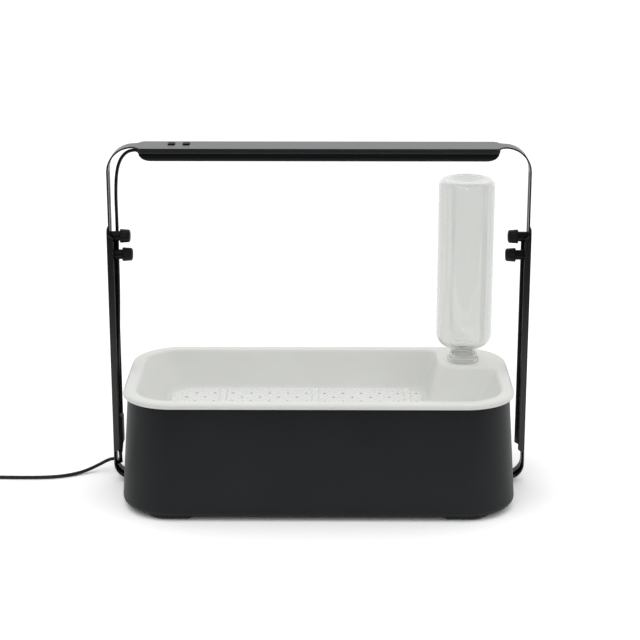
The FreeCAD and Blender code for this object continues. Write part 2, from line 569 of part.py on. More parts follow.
# lamp housing under the plate, its ends curve in, its underside is open
lamp = newBody("lamp_housing")
lampLow = f"({housingTop} - housingHeight)"
shellOutline = sketchOn(lamp, "XZ_Plane", "housingOutline", [[
    ("0 - plateHalf", housingTop), ("0 - plateHalf", lampLow, "housingEndRound"),
    ("plateHalf", lampLow, "housingEndRound"), ("plateHalf", housingTop)]], away="0 - frameY")
shellPad = feature(lamp, "Pad", "housingPad", shellOutline, both=True, Length="housingDepth")
doc.recompute()
longEdges = edgesWhere(shellPad.Shape, lambda e: e.BoundBox.ZMax < number(lampLow) + 0.01
                       and e.BoundBox.YLength < 0.01)
round_(lamp, "housingLongRounds", shellPad, longEdges, "housingRound")
windowHalf = "(plateHalf - housingTuck - windowMargin)"
windowDepth = "(housingDepth - 2 * windowWall)"
window = sketchOn(lamp, "XY_Plane", "windowOutline", [box(
    f"0 - {windowHalf}", windowHalf, f"frameY - {windowDepth} / 2",
    f"frameY + {windowDepth} / 2", "windowRound")], away=lampLow)
feature(lamp, "Pocket", "windowCut", window, flip=True, Length="housingHeight - ceilingWall")
for index, x in enumerate(("firstButtonX", "secondButtonX")):
    well = sketchOn(lamp, "XY_Plane", f"buttonWell{index}", [centred(
        "buttonWide + 2 * buttonLip + 2 * buttonFit", "buttonDeep + 2 * buttonLip + 2 * buttonFit",
        "buttonRound", x, "buttonY")], away=housingTop)
    feature(lamp, "Pocket", f"buttonWellCut{index}", well, Length="ceilingWall + 1")
keep(lamp, "lamp_housing")

ceiling = f"({housingTop} - ceilingWall)"
ledBoard = newBody("led_board")
ledOutline = sketchOn(ledBoard, "XY_Plane", "ledBoardOutline", [box(
    "ledBoardLeft", "ledBoardRight", "frameY - ledBoardDepth / 2",
    "frameY + ledBoardDepth / 2", "buttonRound")], away=ceiling)
feature(ledBoard, "Pad", "ledBoardPad", ledOutline, flip=True, Length="boardThick")
keep(ledBoard, "led_board")

chips = []
chipStep = "((ledBoardRight - ledBoardLeft) / chipCount)"
for rowSide in (-1, 1):
    for i in range(int(number("chipCount"))):
        chip = doc.addObject("Part::Box", f"chip{rowSide + 1}_{i}")
        bind(chip, Length="chipSize", Width="chipSize", Height="chipThick")
        place(chip, f"ledBoardLeft + ({i} + 0.5) * {chipStep} - chipSize / 2",
              f"frameY + ({rowSide}) * chipRowGap / 2 - chipSize / 2",
              f"{ceiling} - boardThick - chipThick")
        chips.append(chip)
group("led_chips", chips)

lens = newBody("lamp_diffuser")
lensOutline = sketchOn(lens, "XY_Plane", "lensOutline", [box(
    f"0 - {windowHalf} + diffuserFit", f"{windowHalf} - diffuserFit",
    f"frameY - {windowDepth} / 2 + diffuserFit", f"frameY + {windowDepth} / 2 - diffuserFit",
    "windowRound - diffuserFit")], away=f"{lampLow} + diffuserRecess")
feature(lens, "Pad", "lensPad", lensOutline, Length="diffuserThick")
keep(lens, "lamp_diffuser")

# touch switches on a small board under the two buttons
switchBoard = newBody("switch_board")
lipTop = f"({housingTop} - lipFit)"
buttonLow = f"({lipTop} - lipThick - stemDepth)"
switchTop = f"({buttonLow} - buttonTravel - switchFit)"
boardMiddle = "((firstButtonX + secondButtonX) / 2)"
switchWidth = "secondButtonX - firstButtonX + buttonWide + 2 * switchEdge"
switchOutline = sketchOn(switchBoard, "XY_Plane", "switchBoardOutline", [centred(
    switchWidth, "ledBoardDepth", "buttonRound", boardMiddle, "frameY")],
    away=f"{switchTop} - switchThick")
feature(switchBoard, "Pad", "switchBoardPad", switchOutline, flip=True, Length="boardThick")
switchBlocks = sketchOn(switchBoard, "XY_Plane", "switchOutlines", [centred(
    "stemWide + 2", "stemWide + 2", "buttonRound", x, "buttonY")
    for x in ("firstButtonX", "secondButtonX")], away=f"{switchTop} - switchThick - boardThick / 2")
feature(switchBoard, "Pad", "switches", switchBlocks, Length="switchThick + boardThick / 2")
for y in (f"frameY - {windowDepth} / 2 + standoffIn", f"frameY + {windowDepth} / 2 - standoffIn"):
    index = len(switchBoard.Group)
    post = sketchOn(switchBoard, "XY_Plane", f"standoff{index}", circles=[
        (boardMiddle, y, "stemWide / 2")], away=f"{switchTop} - switchThick - boardThick / 2")
    feature(switchBoard, "Pad", f"standoffPad{index}", post,
            Length=f"{ceiling} - {switchTop} + switchThick + boardThick / 2")
keep(switchBoard, "switch_board")

for x, buttonName in (("firstButtonX", "button_power"), ("secondButtonX", "button_timer")):
    button = newBody(buttonName)
    cap = sketchOn(button, "XY_Plane", buttonName + "Cap", [centred(
        "buttonWide", "buttonDeep", "buttonRound")], away=f"{lipTop} - lipThick / 2")
    capPad = feature(button, "Pad", buttonName + "CapPad", cap,
                     Length="lipThick / 2 + lipFit + sheet + buttonProud")
    doc.recompute()
    rimEdges = edgesWhere(capPad.Shape, lambda e: e.BoundBox.ZMin > number(
        "archTop + buttonProud") - 0.01)
    round_(button, buttonName + "Edge", capPad, rimEdges, "buttonEdge")
    lip = sketchOn(button, "XY_Plane", buttonName + "Lip", [centred(
        "buttonWide + 2 * buttonLip", "buttonDeep + 2 * buttonLip", "buttonRound")], away=lipTop)
    feature(button, "Pad", buttonName + "LipPad", lip, flip=True, Length="lipThick")
    stem = sketchOn(button, "XY_Plane", buttonName + "Stem", [centred(
        "stemWide", "stemWide", "buttonEdge")], away=f"{lipTop} - lipThick / 2")
    feature(button, "Pad", buttonName + "StemPad", stem, flip=True,
            Length="stemDepth + lipThick / 2")
    place(button, x, "buttonY")
    keep(button, buttonName)

# inverted bottle: turned about its own axis, mouth down in the island's cup
bottle = newBody("bottle")
outerLine = [("0", "0 - neckBelow"), ("neckRadius", "0 - neckBelow"), ("neckRadius", "0"),
             ("ringRadius", "0", "ringRound"), ("ringRadius", "ringHeight", "ringRound"),
             ("throatRadius", "ringHeight", "throatFillet"), ("throatRadius", "throatTop", "throatFillet"),
             ("bottleRadius", "throatTop", "domeRound"), ("bottleRadius", "bottleHeight", "baseRound"),
             ("puntRadius", "bottleHeight", "puntRound"), ("0", "bottleHeight - puntDepth")]
outerSketch = sketchOn(bottle, "XZ_Plane", "bottleOutside", [outerLine])
revolve(bottle, "Revolution", "bottleTurn", outerSketch)
innerLine = [("0", "0 - neckBelow"), ("neckRadius - mouthWall", "0 - neckBelow"),
             ("throatRadius - bottleWall", "throatTop + bottleWall", "throatFillet"),
             ("bottleRadius - bottleWall", "throatTop + bottleWall", "domeRound - bottleWall"),
             ("bottleRadius - bottleWall", "bottleHeight - bottleWall", "baseRound - bottleWall"),
             ("puntRadius", "bottleHeight - bottleWall", "puntRound"),
             ("0", "bottleHeight - puntDepth - bottleWall")]
innerSketch = sketchOn(bottle, "XZ_Plane", "bottleInside", [innerLine])
revolve(bottle, "Groove", "bottleHollow", innerSketch)
place(bottle, "bottleX", "bottleY", "rimTop")
keep(bottle, "bottle")

# valve cap screwed on the mouth, with its sealing disc
cap = newBody("valve_cap")
capInside = "(neckRadius + capFit)"
capTop = "(0 - neckBelow + capSkirt)"
capBottom = "(0 - neckBelow - sealThick - capFloor)"
capLine = [("capPort", capBottom), (f"{capInside} + capWall", capBottom, "capEdge"),
           (f"{capInside} + capWall", capTop), (capInside, capTop),
           (capInside, "0 - neckBelow - sealThick"), ("capPort", "0 - neckBelow - sealThick")]
revolve(cap, "Revolution", "capTurn", sketchOn(cap, "XZ_Plane", "capOutline", [capLine]))
place(cap, "bottleX", "bottleY", "rimTop")
keep(cap, "valve_cap")
seal = newBody("cap_seal")
sealLine = [("capPort", "0 - neckBelow - sealThick"), ("neckRadius", "0 - neckBelow - sealThick"),
            ("neckRadius", "0 - neckBelow"), ("capPort", "0 - neckBelow")]
revolve(seal, "Revolution", "sealTurn", sketchOn(seal, "XZ_Plane", "sealOutline", [sealLine]))
place(seal, "bottleX", "bottleY", "rimTop")
keep(seal, "cap_seal")

# in-line controller in the left channel: tray, cover, board and tapered strain reliefs
boxBack = f"(0 - {insideX})"
boxSplit = f"({boxBack} + boxBaseDeep)"
boxFront = f"({boxSplit} + boxCoverDeep)"
tray = newBody("controller_base")
trayOutline = sketchOn(tray, "YZ_Plane", "trayOutline", [box(
    "frameY - boxWide / 2", "frameY + boxWide / 2", "boxBottom", "boxTop", "boxCorner")],
    away=boxBack)
feature(tray, "Pad", "trayPad", trayOutline, Length="boxBaseDeep")
trayHollow = sketchOn(tray, "YZ_Plane", "trayHollow", [box(
    "frameY - boxWide / 2 + boxWall", "frameY + boxWide / 2 - boxWall", "boxBottom + boxWall",
    "boxTop - boxWall", "boxCorner - boxWall / 2")], away=boxSplit)
feature(tray, "Pocket", "trayHollowCut", trayHollow, Length="boxBaseDeep - boxWall")
keep(tray, "controller_base")
cover = newBody("controller_cover")
coverOutline = sketchOn(cover, "XZ_Plane", "coverOutline", [[
    (boxSplit, "boxBottom"), (boxFront, "boxBottom + boxBevel", "boxCorner"),
    (boxFront, "boxTop - boxBevel", "boxCorner"), (boxSplit, "boxTop")]], away="0 - frameY")
feature(cover, "Pad", "coverPad", coverOutline, both=True, Length="boxWide")
coverHollow = sketchOn(cover, "YZ_Plane", "coverHollow", [box(
    "frameY - boxWide / 2 + boxWall", "frameY + boxWide / 2 - boxWall",
    "boxBottom + boxBevel", "boxTop - boxBevel", "boxCorner - boxWall / 2")], away=boxSplit)
feature(cover, "Pocket", "coverHollowCut", coverHollow, flip=True,
        Length="boxCoverDeep - boxWall")
keep(cover, "controller_cover")
board = newBody("controller_board")
boardOutline = sketchOn(board, "YZ_Plane", "boardOutline", [box(
    "frameY - boxWide / 2 + boxWall + boxFit", "frameY + boxWide / 2 - boxWall - boxFit",
    "boxBottom + boxWall + boxFit", "boxTop - boxWall - boxFit", "boxCorner - boxWall / 2")],
    away=f"{boxBack} + boxWall")
feature(board, "Pad", "boardPad", boardOutline, Length="boardThick")
keep(board, "controller_board")


def taper(name, wide, narrow, length, turn, x, y, z):
    relief = doc.addObject("Part::Cone", name)
    bind(relief, Radius1=f"{wide} / 2", Radius2=f"{narrow} / 2", Height=length)
    place(relief, x, y, z)
    relief.Placement.Rotation = turn
    return keep(relief, name)


reliefX = f"({boxSplit})"
taper("relief_upper", "reliefWide", "reliefTip", "reliefLong", FreeCAD.Rotation(),
      reliefX, "frameY", "boxTop")
taper("relief_lower", "reliefWide", "reliefTip", "reliefLong",
      FreeCAD.Rotation(V(1, 0, 0), 180), reliefX, "frameY", "boxBottom")
glandX = "(0 - plateHalf)"
glandZ = f"({housingTop} - glandDrop)"
taper("lamp_gland", "glandWide", "glandTip", "glandLong",
      FreeCAD.Rotation(V(0, 1, 0), -90), glandX, "cableY", glandZ)


def arcAt(start, corner, end):
    # the arc that touches both legs of an even corner, from start to end
    turn = corner.sub(start).getAngle(end.sub(corner))
    radius = corner.sub(start).Length / math.tan(turn / 2)
    depth = radius * (1 / math.cos(turn / 2) - 1)
    middle = towards(corner, start.add(end).multiply(0.5), depth)
    return Part.Arc(start, middle, end).toShape(), radius


def tubeOver(edges, start, heading, diameter):
    section = Part.Wire(Part.Circle(start, heading, diameter / 2).toShape())
    path = Part.Wire(edges)
    tube = path.makePipeShell([section], True, False)
    fill = tube.Volume / path.Length / (math.pi * diameter ** 2 / 4)
    print("length", round(path.Length, 1), "volume over section x length", round(fill, 4))
    return tube


def tubeAlong(route, diameter):
    # straight runs joined by tangent arcs, each as large as its two runs allow
    edges, radii = [], []
    here = route[0]
    for before, corner, after in zip(route, route[1:], route[2:]):
        cut = 0.45 * min(corner.sub(before).Length, after.sub(corner).Length)
        start, end = towards(corner, before, cut), towards(corner, after, cut)
        arc, radius = arcAt(start, corner, end)
        edges += [Part.LineSegment(here, start).toShape(), arc]
        radii.append(round(radius, 1))
        here = end
    edges.append(Part.LineSegment(here, route[-1]).toShape())
    print("bend radii", radii)
    return tubeOver(edges, route[0], route[1].sub(route[0]), diameter)


def soft(name, shape):
    made = doc.addObject("Part::Feature", name)
    made.Shape = shape
    return keep(made, name)


# lamp lead: out of the lamp's left end, round the bend, down inside the left post
reliefTop = number("boxTop + reliefLong")
reliefAt = number(reliefX)
leadY = number("cableY")
postY = number("frameY")
webX = number("0 - postOuter")
leadTop = number(glandZ)


def leadSpot(out, back, up):
    # out from the post's outer face, back from the middle of the post, up as a share of the lead
    return V(webX + out, postY + back, reliefTop + up * (leadTop - reliefTop))


lampSide = number("cableY - frameY")
leadRoute = [V(number(glandX) - number("glandLong"), leadY, leadTop), leadSpot(29, lampSide, 1),
             leadSpot(18.5, lampSide, 0.972), leadSpot(12.5, lampSide, 0.921),
             leadSpot(10.5, lampSide, 0.835), leadSpot(11, lampSide, 0.725),
             leadSpot(10.5, lampSide, 0.606), leadSpot(10.5, lampSide - 0.5, 0.478),
             leadSpot(9.5, lampSide - 3, 0.339), leadSpot(8, lampSide - 7, 0.199),
             V(reliefAt, postY, reliefTop + 27), V(reliefAt, postY, reliefTop)]
soft("lamp_cable", tubeAlong(leadRoute, number("lampCable")))

# supply cord: out of the box, behind the leg, along the worktop to the coil
floorZ = number("supplyCord / 2")
coilX, coilEndY, coilRun = number("coilX"), number("coilEndY"), number("coilRun")
cordEnd = number("boxBottom - reliefLong")


def cordSpot(out, back, z=floorZ):
    # out from the strain relief, back from the middle of the post
    return V(reliefAt - out, postY + back, z)


cordRoute = [cordSpot(0, 0, cordEnd), cordSpot(0, 0, cordEnd - 12), cordSpot(1, 16, 17),
             cordSpot(6.5, 27, 17), cordSpot(18, 31, 15.3), cordSpot(34, 26.5, 7.5),
             cordSpot(50, 16, 3.2), cordSpot(65, 6.5), cordSpot(81, -0.5),
             cordSpot(100, -4), cordSpot(121, -4.8), cordSpot(142, -4.5), cordSpot(163, -3.8),
             cordSpot(184, -4), V(coilX + coilRun, coilEndY, floorZ)]
soft("supply_cord", tubeAlong(cordRoute, number("supplyCord")))

# cord coil: in on the worktop, up a layer at the core, out again on top
coilEdges = []
coilR = number("coilInner + (coilTurns - 0.5) * coilPitch")
coilStart = V(coilX + coilRun, coilEndY, floorZ)
turnStart = V(coilX, coilEndY, floorZ)
coilEdges.append(Part.LineSegment(coilStart, turnStart).toShape())
halfTurns = int(number("2 * coilTurns"))
halfPitch = number("coilPitch / 2")
coreR = number("coilInner")
inward = [(coilR - k * halfPitch, 0) for k in range(halfTurns)]
climb = [(coreR - halfPitch, number("layerRise"))]
outward = [(coreR + k * halfPitch, 0) for k in range(halfTurns - 1)]
here, heading = turnStart, V(-1, 0, 0)
for radius, rise in inward + climb + outward:
    across = V(0, 2 * radius * heading.x, rise)
    there = here.add(across)
    reach = heading * (across.Length / 2)
    corners = here.add(reach), there.add(reach)
    joint = corners[0].add(corners[1]).multiply(0.5)
    coilEdges.append(arcAt(here, corners[0], joint)[0])
    coilEdges.append(arcAt(joint, corners[1], there)[0])
    here, heading = there, heading.negative()
corner = here.add(V(-coilR, 0, 0))
leftEnd = corner.add(V(0, -coilR, 0))
coilEdges.append(arcAt(here, corner, leftEnd)[0])
tailEnd = leftEnd.add(V(0, -number("tailRun"), 0))
coilEdges.append(Part.LineSegment(leftEnd, tailEnd).toShape())
soft("cord_coil", tubeOver(coilEdges, coilStart, V(-1, 0, 0), number("supplyCord")))

# least distance between stretches of the coil that are not neighbours along it
spotStep = 2
spots = Part.Wire(coilEdges).discretize(Distance=spotStep)
skip = int(number("3 * supplyCord") / spotStep)
least = min(a.distanceToPoint(b) for i, a in enumerate(spots) for b in spots[i + skip:])
print("coil self gap", round(least - number("supplyCord"), 2))

# generic low-voltage adapter at the far end, lying on the worktop
adapterY = f"({tailEnd.y} - adapterRelief)"
taper("adapter_relief", "reliefWide", "reliefTip", "adapterRelief",
      FreeCAD.Rotation(V(1, 0, 0), -90), str(tailEnd.x), adapterY, str(tailEnd.z))
adapter = newBody("adapter_body")
adapterOutline = sketchOn(adapter, "XY_Plane", "adapterOutline", [centred(
    "adapterWide", "adapterLong", "adapterRound")])
adapterPad = feature(adapter, "Pad", "adapterPad", adapterOutline, Length="adapterHigh")
doc.recompute()
rims = edgesWhere(adapterPad.Shape, lambda e: e.BoundBox.ZLength < 0.01)
round_(adapter, "adapterRims", adapterPad, rims, "adapterEdge")
place(adapter, str(tailEnd.x), f"{adapterY} - adapterLong / 2")
keep(adapter, "adapter_body")
pins = []
for side in (-1, 1):
    pin = doc.addObject("Part::Cylinder", f"adapterPin{side + 1}")
    bind(pin, Radius="pinRadius", Height="pinLong")
    place(pin, f"{tailEnd.x} + ({side}) * pinSpread / 2", f"{adapterY} - adapterLong",
          "adapterHigh / 2")
    pin.Placement.Rotation = FreeCAD.Rotation(V(1, 0, 0), 90)
    pins.append(pin)
group("adapter_pins", pins)

# every object computed, every sub-part whole, then one file each
doc.recompute()
for item in doc.Objects:
    if "Invalid" in item.State or "Error" in item.State:
        raise RuntimeError(f"{item.Name}: {item.getStatusString()}")
for item in subParts:
    if item.Shape.isNull() or not item.Shape.isValid() or not item.Shape.Solids:
        raise RuntimeError(item.Label + " has no valid solid")
for item in subParts:
    item.Shape.exportStep(f"parts/{item.Label}.step")
print("pieces", len(subParts))
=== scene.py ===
import math

import bmesh
import bpy
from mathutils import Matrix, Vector


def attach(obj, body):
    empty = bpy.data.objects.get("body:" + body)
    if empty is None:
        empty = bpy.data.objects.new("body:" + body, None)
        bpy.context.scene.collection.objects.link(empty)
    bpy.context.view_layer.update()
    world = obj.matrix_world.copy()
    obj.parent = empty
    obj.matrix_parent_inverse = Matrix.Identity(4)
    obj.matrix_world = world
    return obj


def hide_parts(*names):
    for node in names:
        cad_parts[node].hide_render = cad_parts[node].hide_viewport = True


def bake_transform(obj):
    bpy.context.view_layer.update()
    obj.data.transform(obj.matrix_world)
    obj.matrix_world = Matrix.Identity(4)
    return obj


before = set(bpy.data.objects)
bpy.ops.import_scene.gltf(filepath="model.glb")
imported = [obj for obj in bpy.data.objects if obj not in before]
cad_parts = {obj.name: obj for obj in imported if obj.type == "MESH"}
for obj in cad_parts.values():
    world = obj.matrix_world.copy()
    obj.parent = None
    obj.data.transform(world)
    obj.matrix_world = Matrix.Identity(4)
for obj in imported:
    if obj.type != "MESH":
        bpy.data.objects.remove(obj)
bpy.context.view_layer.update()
mm = 0.001
print("frame loaded:", len(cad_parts), "nodes")

scene = bpy.context.scene
scene.view_settings.view_transform = "Standard"

# camera of the photograph: long lens, looking down a little from above the lamp, no shift
cameraSettings = dict(place=(0.0155, -2.190, 0.876), tilt=73.45, turn=0.366, lens=101.05)
camera = bpy.data.objects.new("photoCamera", bpy.data.cameras.new("photoCamera"))
scene.collection.objects.link(camera)
scene.camera = camera
camera.location = cameraSettings["place"]
camera.rotation_euler = (math.radians(cameraSettings["tilt"]), 0, math.radians(cameraSettings["turn"]))
camera.data.lens = cameraSettings["lens"]
print("camera placed")


def linear(code):
    # sRGB hex to the linear colour that the shaders take
    parts = [int(code[i:i + 2], 16) / 255 for i in (1, 3, 5)]
    return [p / 12.92 if p <= 0.04045 else ((p + 0.055) / 1.055) ** 2.4 for p in parts] + [1]


def addNode(tree, kind, inputs=None, **settings):
    # a value that is a socket is linked, any other is set
    node = tree.nodes.new(kind)
    for name, value in settings.items():
        setattr(node, name, value)
    for name, value in (inputs or {}).items():
        socket = node.inputs[name]
        if isinstance(value, bpy.types.NodeSocket):
            tree.links.new(value, socket)
        else:
            socket.default_value = value
    return node


def reckon(tree, operation, *values):
    return addNode(tree, "ShaderNodeMath", dict(enumerate(values)), operation=operation).outputs[0]


def finish(name, base, roughness, tone=0.08, toneSize=70, grain=0.6, grainDepth=0.01,
           kind="noise", stretch=(1, 1, 1), roughnessSpread=0.05, **shader):
    # toneSize and grain are sizes in millimetres, grainDepth is the height of the grain
    material = bpy.data.materials.new(name)
    material.use_nodes = True
    tree = material.node_tree
    principled = tree.nodes["Principled BSDF"]
    place = addNode(tree, "ShaderNodeTexCoord").outputs["Object"]
    along = addNode(tree, "ShaderNodeMapping", {"Vector": place, "Scale": stretch})
    cloud = addNode(tree, "ShaderNodeTexNoise", {
        "Vector": place, "Scale": 1 / (toneSize * mm), "Detail": 3.0, "Roughness": 0.55})
    if kind == "cells":
        fine = addNode(tree, "ShaderNodeTexVoronoi", {
            "Vector": along.outputs["Vector"], "Scale": 1 / (grain * mm)}, feature="SMOOTH_F1")
        height = fine.outputs["Distance"]
    else:
        fine = addNode(tree, "ShaderNodeTexNoise", {
            "Vector": along.outputs["Vector"], "Scale": 1 / (grain * mm), "Detail": 4.0})
        height = fine.outputs["Fac"]
    colour = linear(base)
    dark = [c * (1 - tone) for c in colour[:3]] + [1]
    light = [min(c * (1 + tone), 1) for c in colour[:3]] + [1]
    tones = addNode(tree, "ShaderNodeValToRGB", {"Fac": cloud.outputs["Fac"]})
    tones.color_ramp.elements[0].position, tones.color_ramp.elements[1].position = 0.3, 0.7
    tones.color_ramp.elements[0].color, tones.color_ramp.elements[1].color = dark, light
    tree.links.new(tones.outputs["Color"], principled.inputs["Base Color"])
    polish = addNode(tree, "ShaderNodeMapRange", {
        "Value": height, "From Min": 0.2, "From Max": 0.8,
        "To Min": roughness - roughnessSpread, "To Max": roughness + roughnessSpread})
    tree.links.new(polish.outputs["Result"], principled.inputs["Roughness"])
    if grainDepth:
        bump = addNode(tree, "ShaderNodeBump", {
            "Height": height, "Strength": 0.6, "Distance": grainDepth * mm})
        tree.links.new(bump.outputs["Normal"], principled.inputs["Normal"])
    for socket, value in shader.items():
        principled.inputs[socket.replace("_", " ")].default_value = value
    material.diffuse_color = colour
    return material


# textured ABS, moulded: deep charcoal, the spark-eroded mould leaves a dull even grain
tubPlastic = finish("texturedAbsMoulded", "#191B1D", 0.42, tone=0.10, grain=1.1, grainDepth=0.035,
                    kind="cells", Specular_IOR_Level=0.28)
# polypropylene, moulded: warm white, soft light bleeds into it and edges stay gentle
linerPlastic = finish("polypropyleneMoulded", "#E4E5E1", 0.36, tone=0.015, grain=2.4,
                      grainDepth=0.006, Subsurface_Weight=0.08, Subsurface_Scale=0.003)
# polypropylene, moulded and polished: a shade cooler, clearer highlights on ribs and hole rims
platePlastic = finish("polypropylenePolished", "#E9EAE8", 0.28, tone=0.012, grain=3.0,
                      grainDepth=0.0)
# steel sheet, powder coated: satin black with a slight orange peel, grey where light grazes it
powderCoat = finish("steelPowderCoated", "#08090A", 0.30, tone=0.12, toneSize=90, grain=1.4,
                    grainDepth=0.008, Specular_IOR_Level=0.7)
# aluminium lid, anodised: dark grey metal with a fine brushed line along the lamp
lidMetal = finish("aluminiumAnodised", "#34383B", 0.45, tone=0.06, grain=0.8, grainDepth=0.004,
                  stretch=(0.04, 1, 1), Metallic=0.5)
# polycarbonate body, moulded: smooth black below the lid
lampPlastic = finish("polycarbonateMoulded", "#0E0F11", 0.38, grain=1.2, Specular_IOR_Level=0.2)
# phenolic knobs, moulded: black with a dry sheen on the flutes
knobPlastic = finish("phenolicMoulded", "#0D0E0F", 0.42, tone=0.10, toneSize=9, grain=0.7,
                     Specular_IOR_Level=0.25)
# ABS keys, polished: darker than the plate round them, they hardly mirror the backdrop
keyPlastic = finish("absPolished", "#090A0B", 0.5, tone=0.10, toneSize=12, grain=1.5,
                    grainDepth=0.003, Specular_IOR_Level=0.12)
# steel collars, blackened: thin oxide lets a little metal glint through
collarMetal = finish("steelBlackened", "#2B2C2E", 0.36, tone=0.12, toneSize=6, grain=0.3,
                     grainDepth=0.004, stretch=(1, 0.15, 0.15), Metallic=1.0)
# steel screws, zinc plated: pale cool grey with turned lines
screwMetal = finish("steelZincPlated", "#B6BABC", 0.30, tone=0.06, toneSize=6, grain=0.35,
                    grainDepth=0.005, stretch=(3, 1, 1), Metallic=1.0)
# brass pins, nickel plated: bright, slightly warm, hardly any grain
pinMetal = finish("brassNickelPlated", "#C9C6BE", 0.18, tone=0.04, toneSize=8, grain=0.5,
                  grainDepth=0.002, Metallic=1.0)
# PVC sheath, extruded: black, soft gloss, faint waviness along its length
sheathPlastic = finish("pvcExtruded", "#121314", 0.40, toneSize=25, grain=3.0,
                       grainDepth=0.02)
# thermoplastic rubber, moulded: dull black, no clear highlight
reliefRubber = finish("rubberMoulded", "#161718", 0.62, tone=0.10, toneSize=8, grain=0.8,
                      grainDepth=0.015)
# silicone pads, moulded: soft dark grey
padRubber = finish("siliconeMoulded", "#1D1E1F", 0.70, toneSize=9, grain=0.9,
                   grainDepth=0.02)
# ABS box, moulded: same black as the cables, fine grain
boxPlastic = finish("absFineGrain", "#141516", 0.45, toneSize=14, grain=0.8,
                    grainDepth=0.02, kind="cells")
# circuit board, solder mask over glass laminate: green with the weave just felt
boardLaminate = finish("laminateGreenMask", "#1F6B3A", 0.35, toneSize=12, grain=0.9,
                       grainDepth=0.006)
# lamp board, white mask on aluminium: flat white that throws the light down
whiteMask = finish("aluminiumWhiteMask", "#ECEEEC", 0.40, tone=0.02, grain=0.9, grainDepth=0.004)
# light chips, phosphor under silicone: pale yellow lens
phosphor = finish("siliconePhosphor", "#E8D98A", 0.22, tone=0.06, toneSize=2, grain=1.0,
                  grainDepth=0.002)
# sealing disc, nitrile rubber: dark grey
sealRubber = finish("nitrileMoulded", "#2C2D2E", 0.6, toneSize=8, grain=0.8)
# valve cap, polypropylene: translucent white
capPlastic = finish("polypropyleneCap", "#DCDFDD", 0.32, tone=0.02, toneSize=10, grain=1.2,
                    grainDepth=0.004, Subsurface_Weight=0.1, Subsurface_Scale=0.002)
# diffuser, acrylic with a frosted underside: milky, the chips behind it blur to dots
frosted = finish("acrylicFrosted", "#F2F4F3", 0.45, tone=0.01, grain=0.5,
                 Transmission_Weight=0.55)
# soda-lime glass, blown in a mould: faint grey, its wall thickness waves a little
bottleGlass = finish("glassBlown", "#EFF0EE", 0.02, tone=0.004, grain=26, grainDepth=0.25,
                     stretch=(1, 1, 0.16), roughnessSpread=0.005, Transmission_Weight=1.0,
                     IOR=1.5)

# the bottle's finish ring, pressed glass: thicker and less clear than the wall; its pale white share is
# painted light, standing in for the light that hardly reaches into the cup under it
paledRingGlass = finish("glassPressedPaintedLight", "#EDEEEB", 0.10, tone=0.01, toneSize=12, grain=9, grainDepth=0.02,
                   Transmission_Weight=0.4, IOR=1.5)


def letLightThrough(material, deepest=4.5):
    # shadow and diffuse rays pass, and rays caught inside the glass get out, so nothing is left black
    tree = material.node_tree
    rays = addNode(tree, "ShaderNodeLightPath")
    caught = reckon(tree, "GREATER_THAN", rays.outputs["Ray Depth"], deepest)
    lit = reckon(tree, "MAXIMUM", rays.outputs["Is Shadow Ray"], rays.outputs["Is Diffuse Ray"])
    passing = reckon(tree, "MAXIMUM", lit, caught)
    clear = addNode(tree, "ShaderNodeBsdfTransparent", {"Color": (0.93, 0.93, 0.93, 1)})
    mixed = addNode(tree, "ShaderNodeMixShader", {
        0: passing, 1: tree.nodes["Principled BSDF"].outputs[0], 2: clear.outputs[0]})
    tree.links.new(mixed.outputs[0], tree.nodes["Material Output"].inputs["Surface"])


for material in (bottleGlass, paledRingGlass, frosted):
    letLightThrough(material)
print("finishes made:", len(bpy.data.materials))


def neighbours(loop):
    return zip(loop[-1:] + loop[:-1], loop, loop[1:] + loop[:1])


def block(x1, x2, y1, y2, radius=0):
    return [(x1, y1, radius), (x2, y1, radius), (x2, y2, radius), (x1, y2, radius)]


def ring(x, y, radius):
    return block(x - radius, x + radius, y - radius, y + radius, radius)


def grown(loop, reach):
    # outline moved outwards by reach; outer corners get rounder, inner corners tighter
    moved = []
    for before, here, after in neighbours(loop):
        first = (Vector(here[:2]) - Vector(before[:2])).normalized()
        second = (Vector(after[:2]) - Vector(here[:2])).normalized()
        out = Vector((first.y + second.y, -first.x - second.x)) / (1 + first.dot(second))
        bend = 1 if first.x * second.y - first.y * second.x > 0 else -1
        radius = max(here[2] + bend * reach, 0.01) if here[2] else 0
        moved.append((here[0] + out.x * reach, here[1] + out.y * reach, radius))
    return moved


def outline(loop, steps=8, closed=True):
    # points along the outline, each rounded corner in the same number of steps
    spots = []
    for index, (before, here, after) in enumerate(neighbours(loop)):
        corner, radius = Vector(here[:2]), here[2] if len(here) > 2 else 0
        if not radius or (not closed and index in (0, len(loop) - 1)):
            spots.append(tuple(corner))
            continue
        back = (Vector(before[:2]) - corner).normalized()
        ahead = (Vector(after[:2]) - corner).normalized()
        half = back.angle(ahead) / 2
        centre = corner + (back + ahead).normalized() * radius / math.sin(half)
        start = corner + back * radius / math.tan(half) - centre
        end = corner + ahead * radius / math.tan(half) - centre
        sweep = math.pi - 2 * half
        if start.x * end.y - start.y * end.x < 0:
            sweep = -sweep
        for k in range(steps + 1):
            c, s = math.cos(sweep * k / steps), math.sin(sweep * k / steps)
            spots.append((centre.x + start.x * c - start.y * s, centre.y + start.x * s + start.y * c))
    return spots


def level(spots, z):
    return [(x, y, z) for x, y in spots]


def around(loop, steps, z, reach=0):
    # the outline at a level, moved outwards by reach
    return level(outline(grown(loop, reach) if reach else loop, steps), z)


def quarter(steps):
    # shares (out, up) along a quarter round, from (1, 0) to (0, 1)
    turns = [math.pi / 2 * k / steps for k in range(steps + 1)]
    return [(1 - math.sin(a), 1 - math.cos(a)) for a in turns]


def between(first, second, share):
    return [tuple(a + (b - a) * share for a, b in zip(p, q)) for p, q in zip(first, second)]


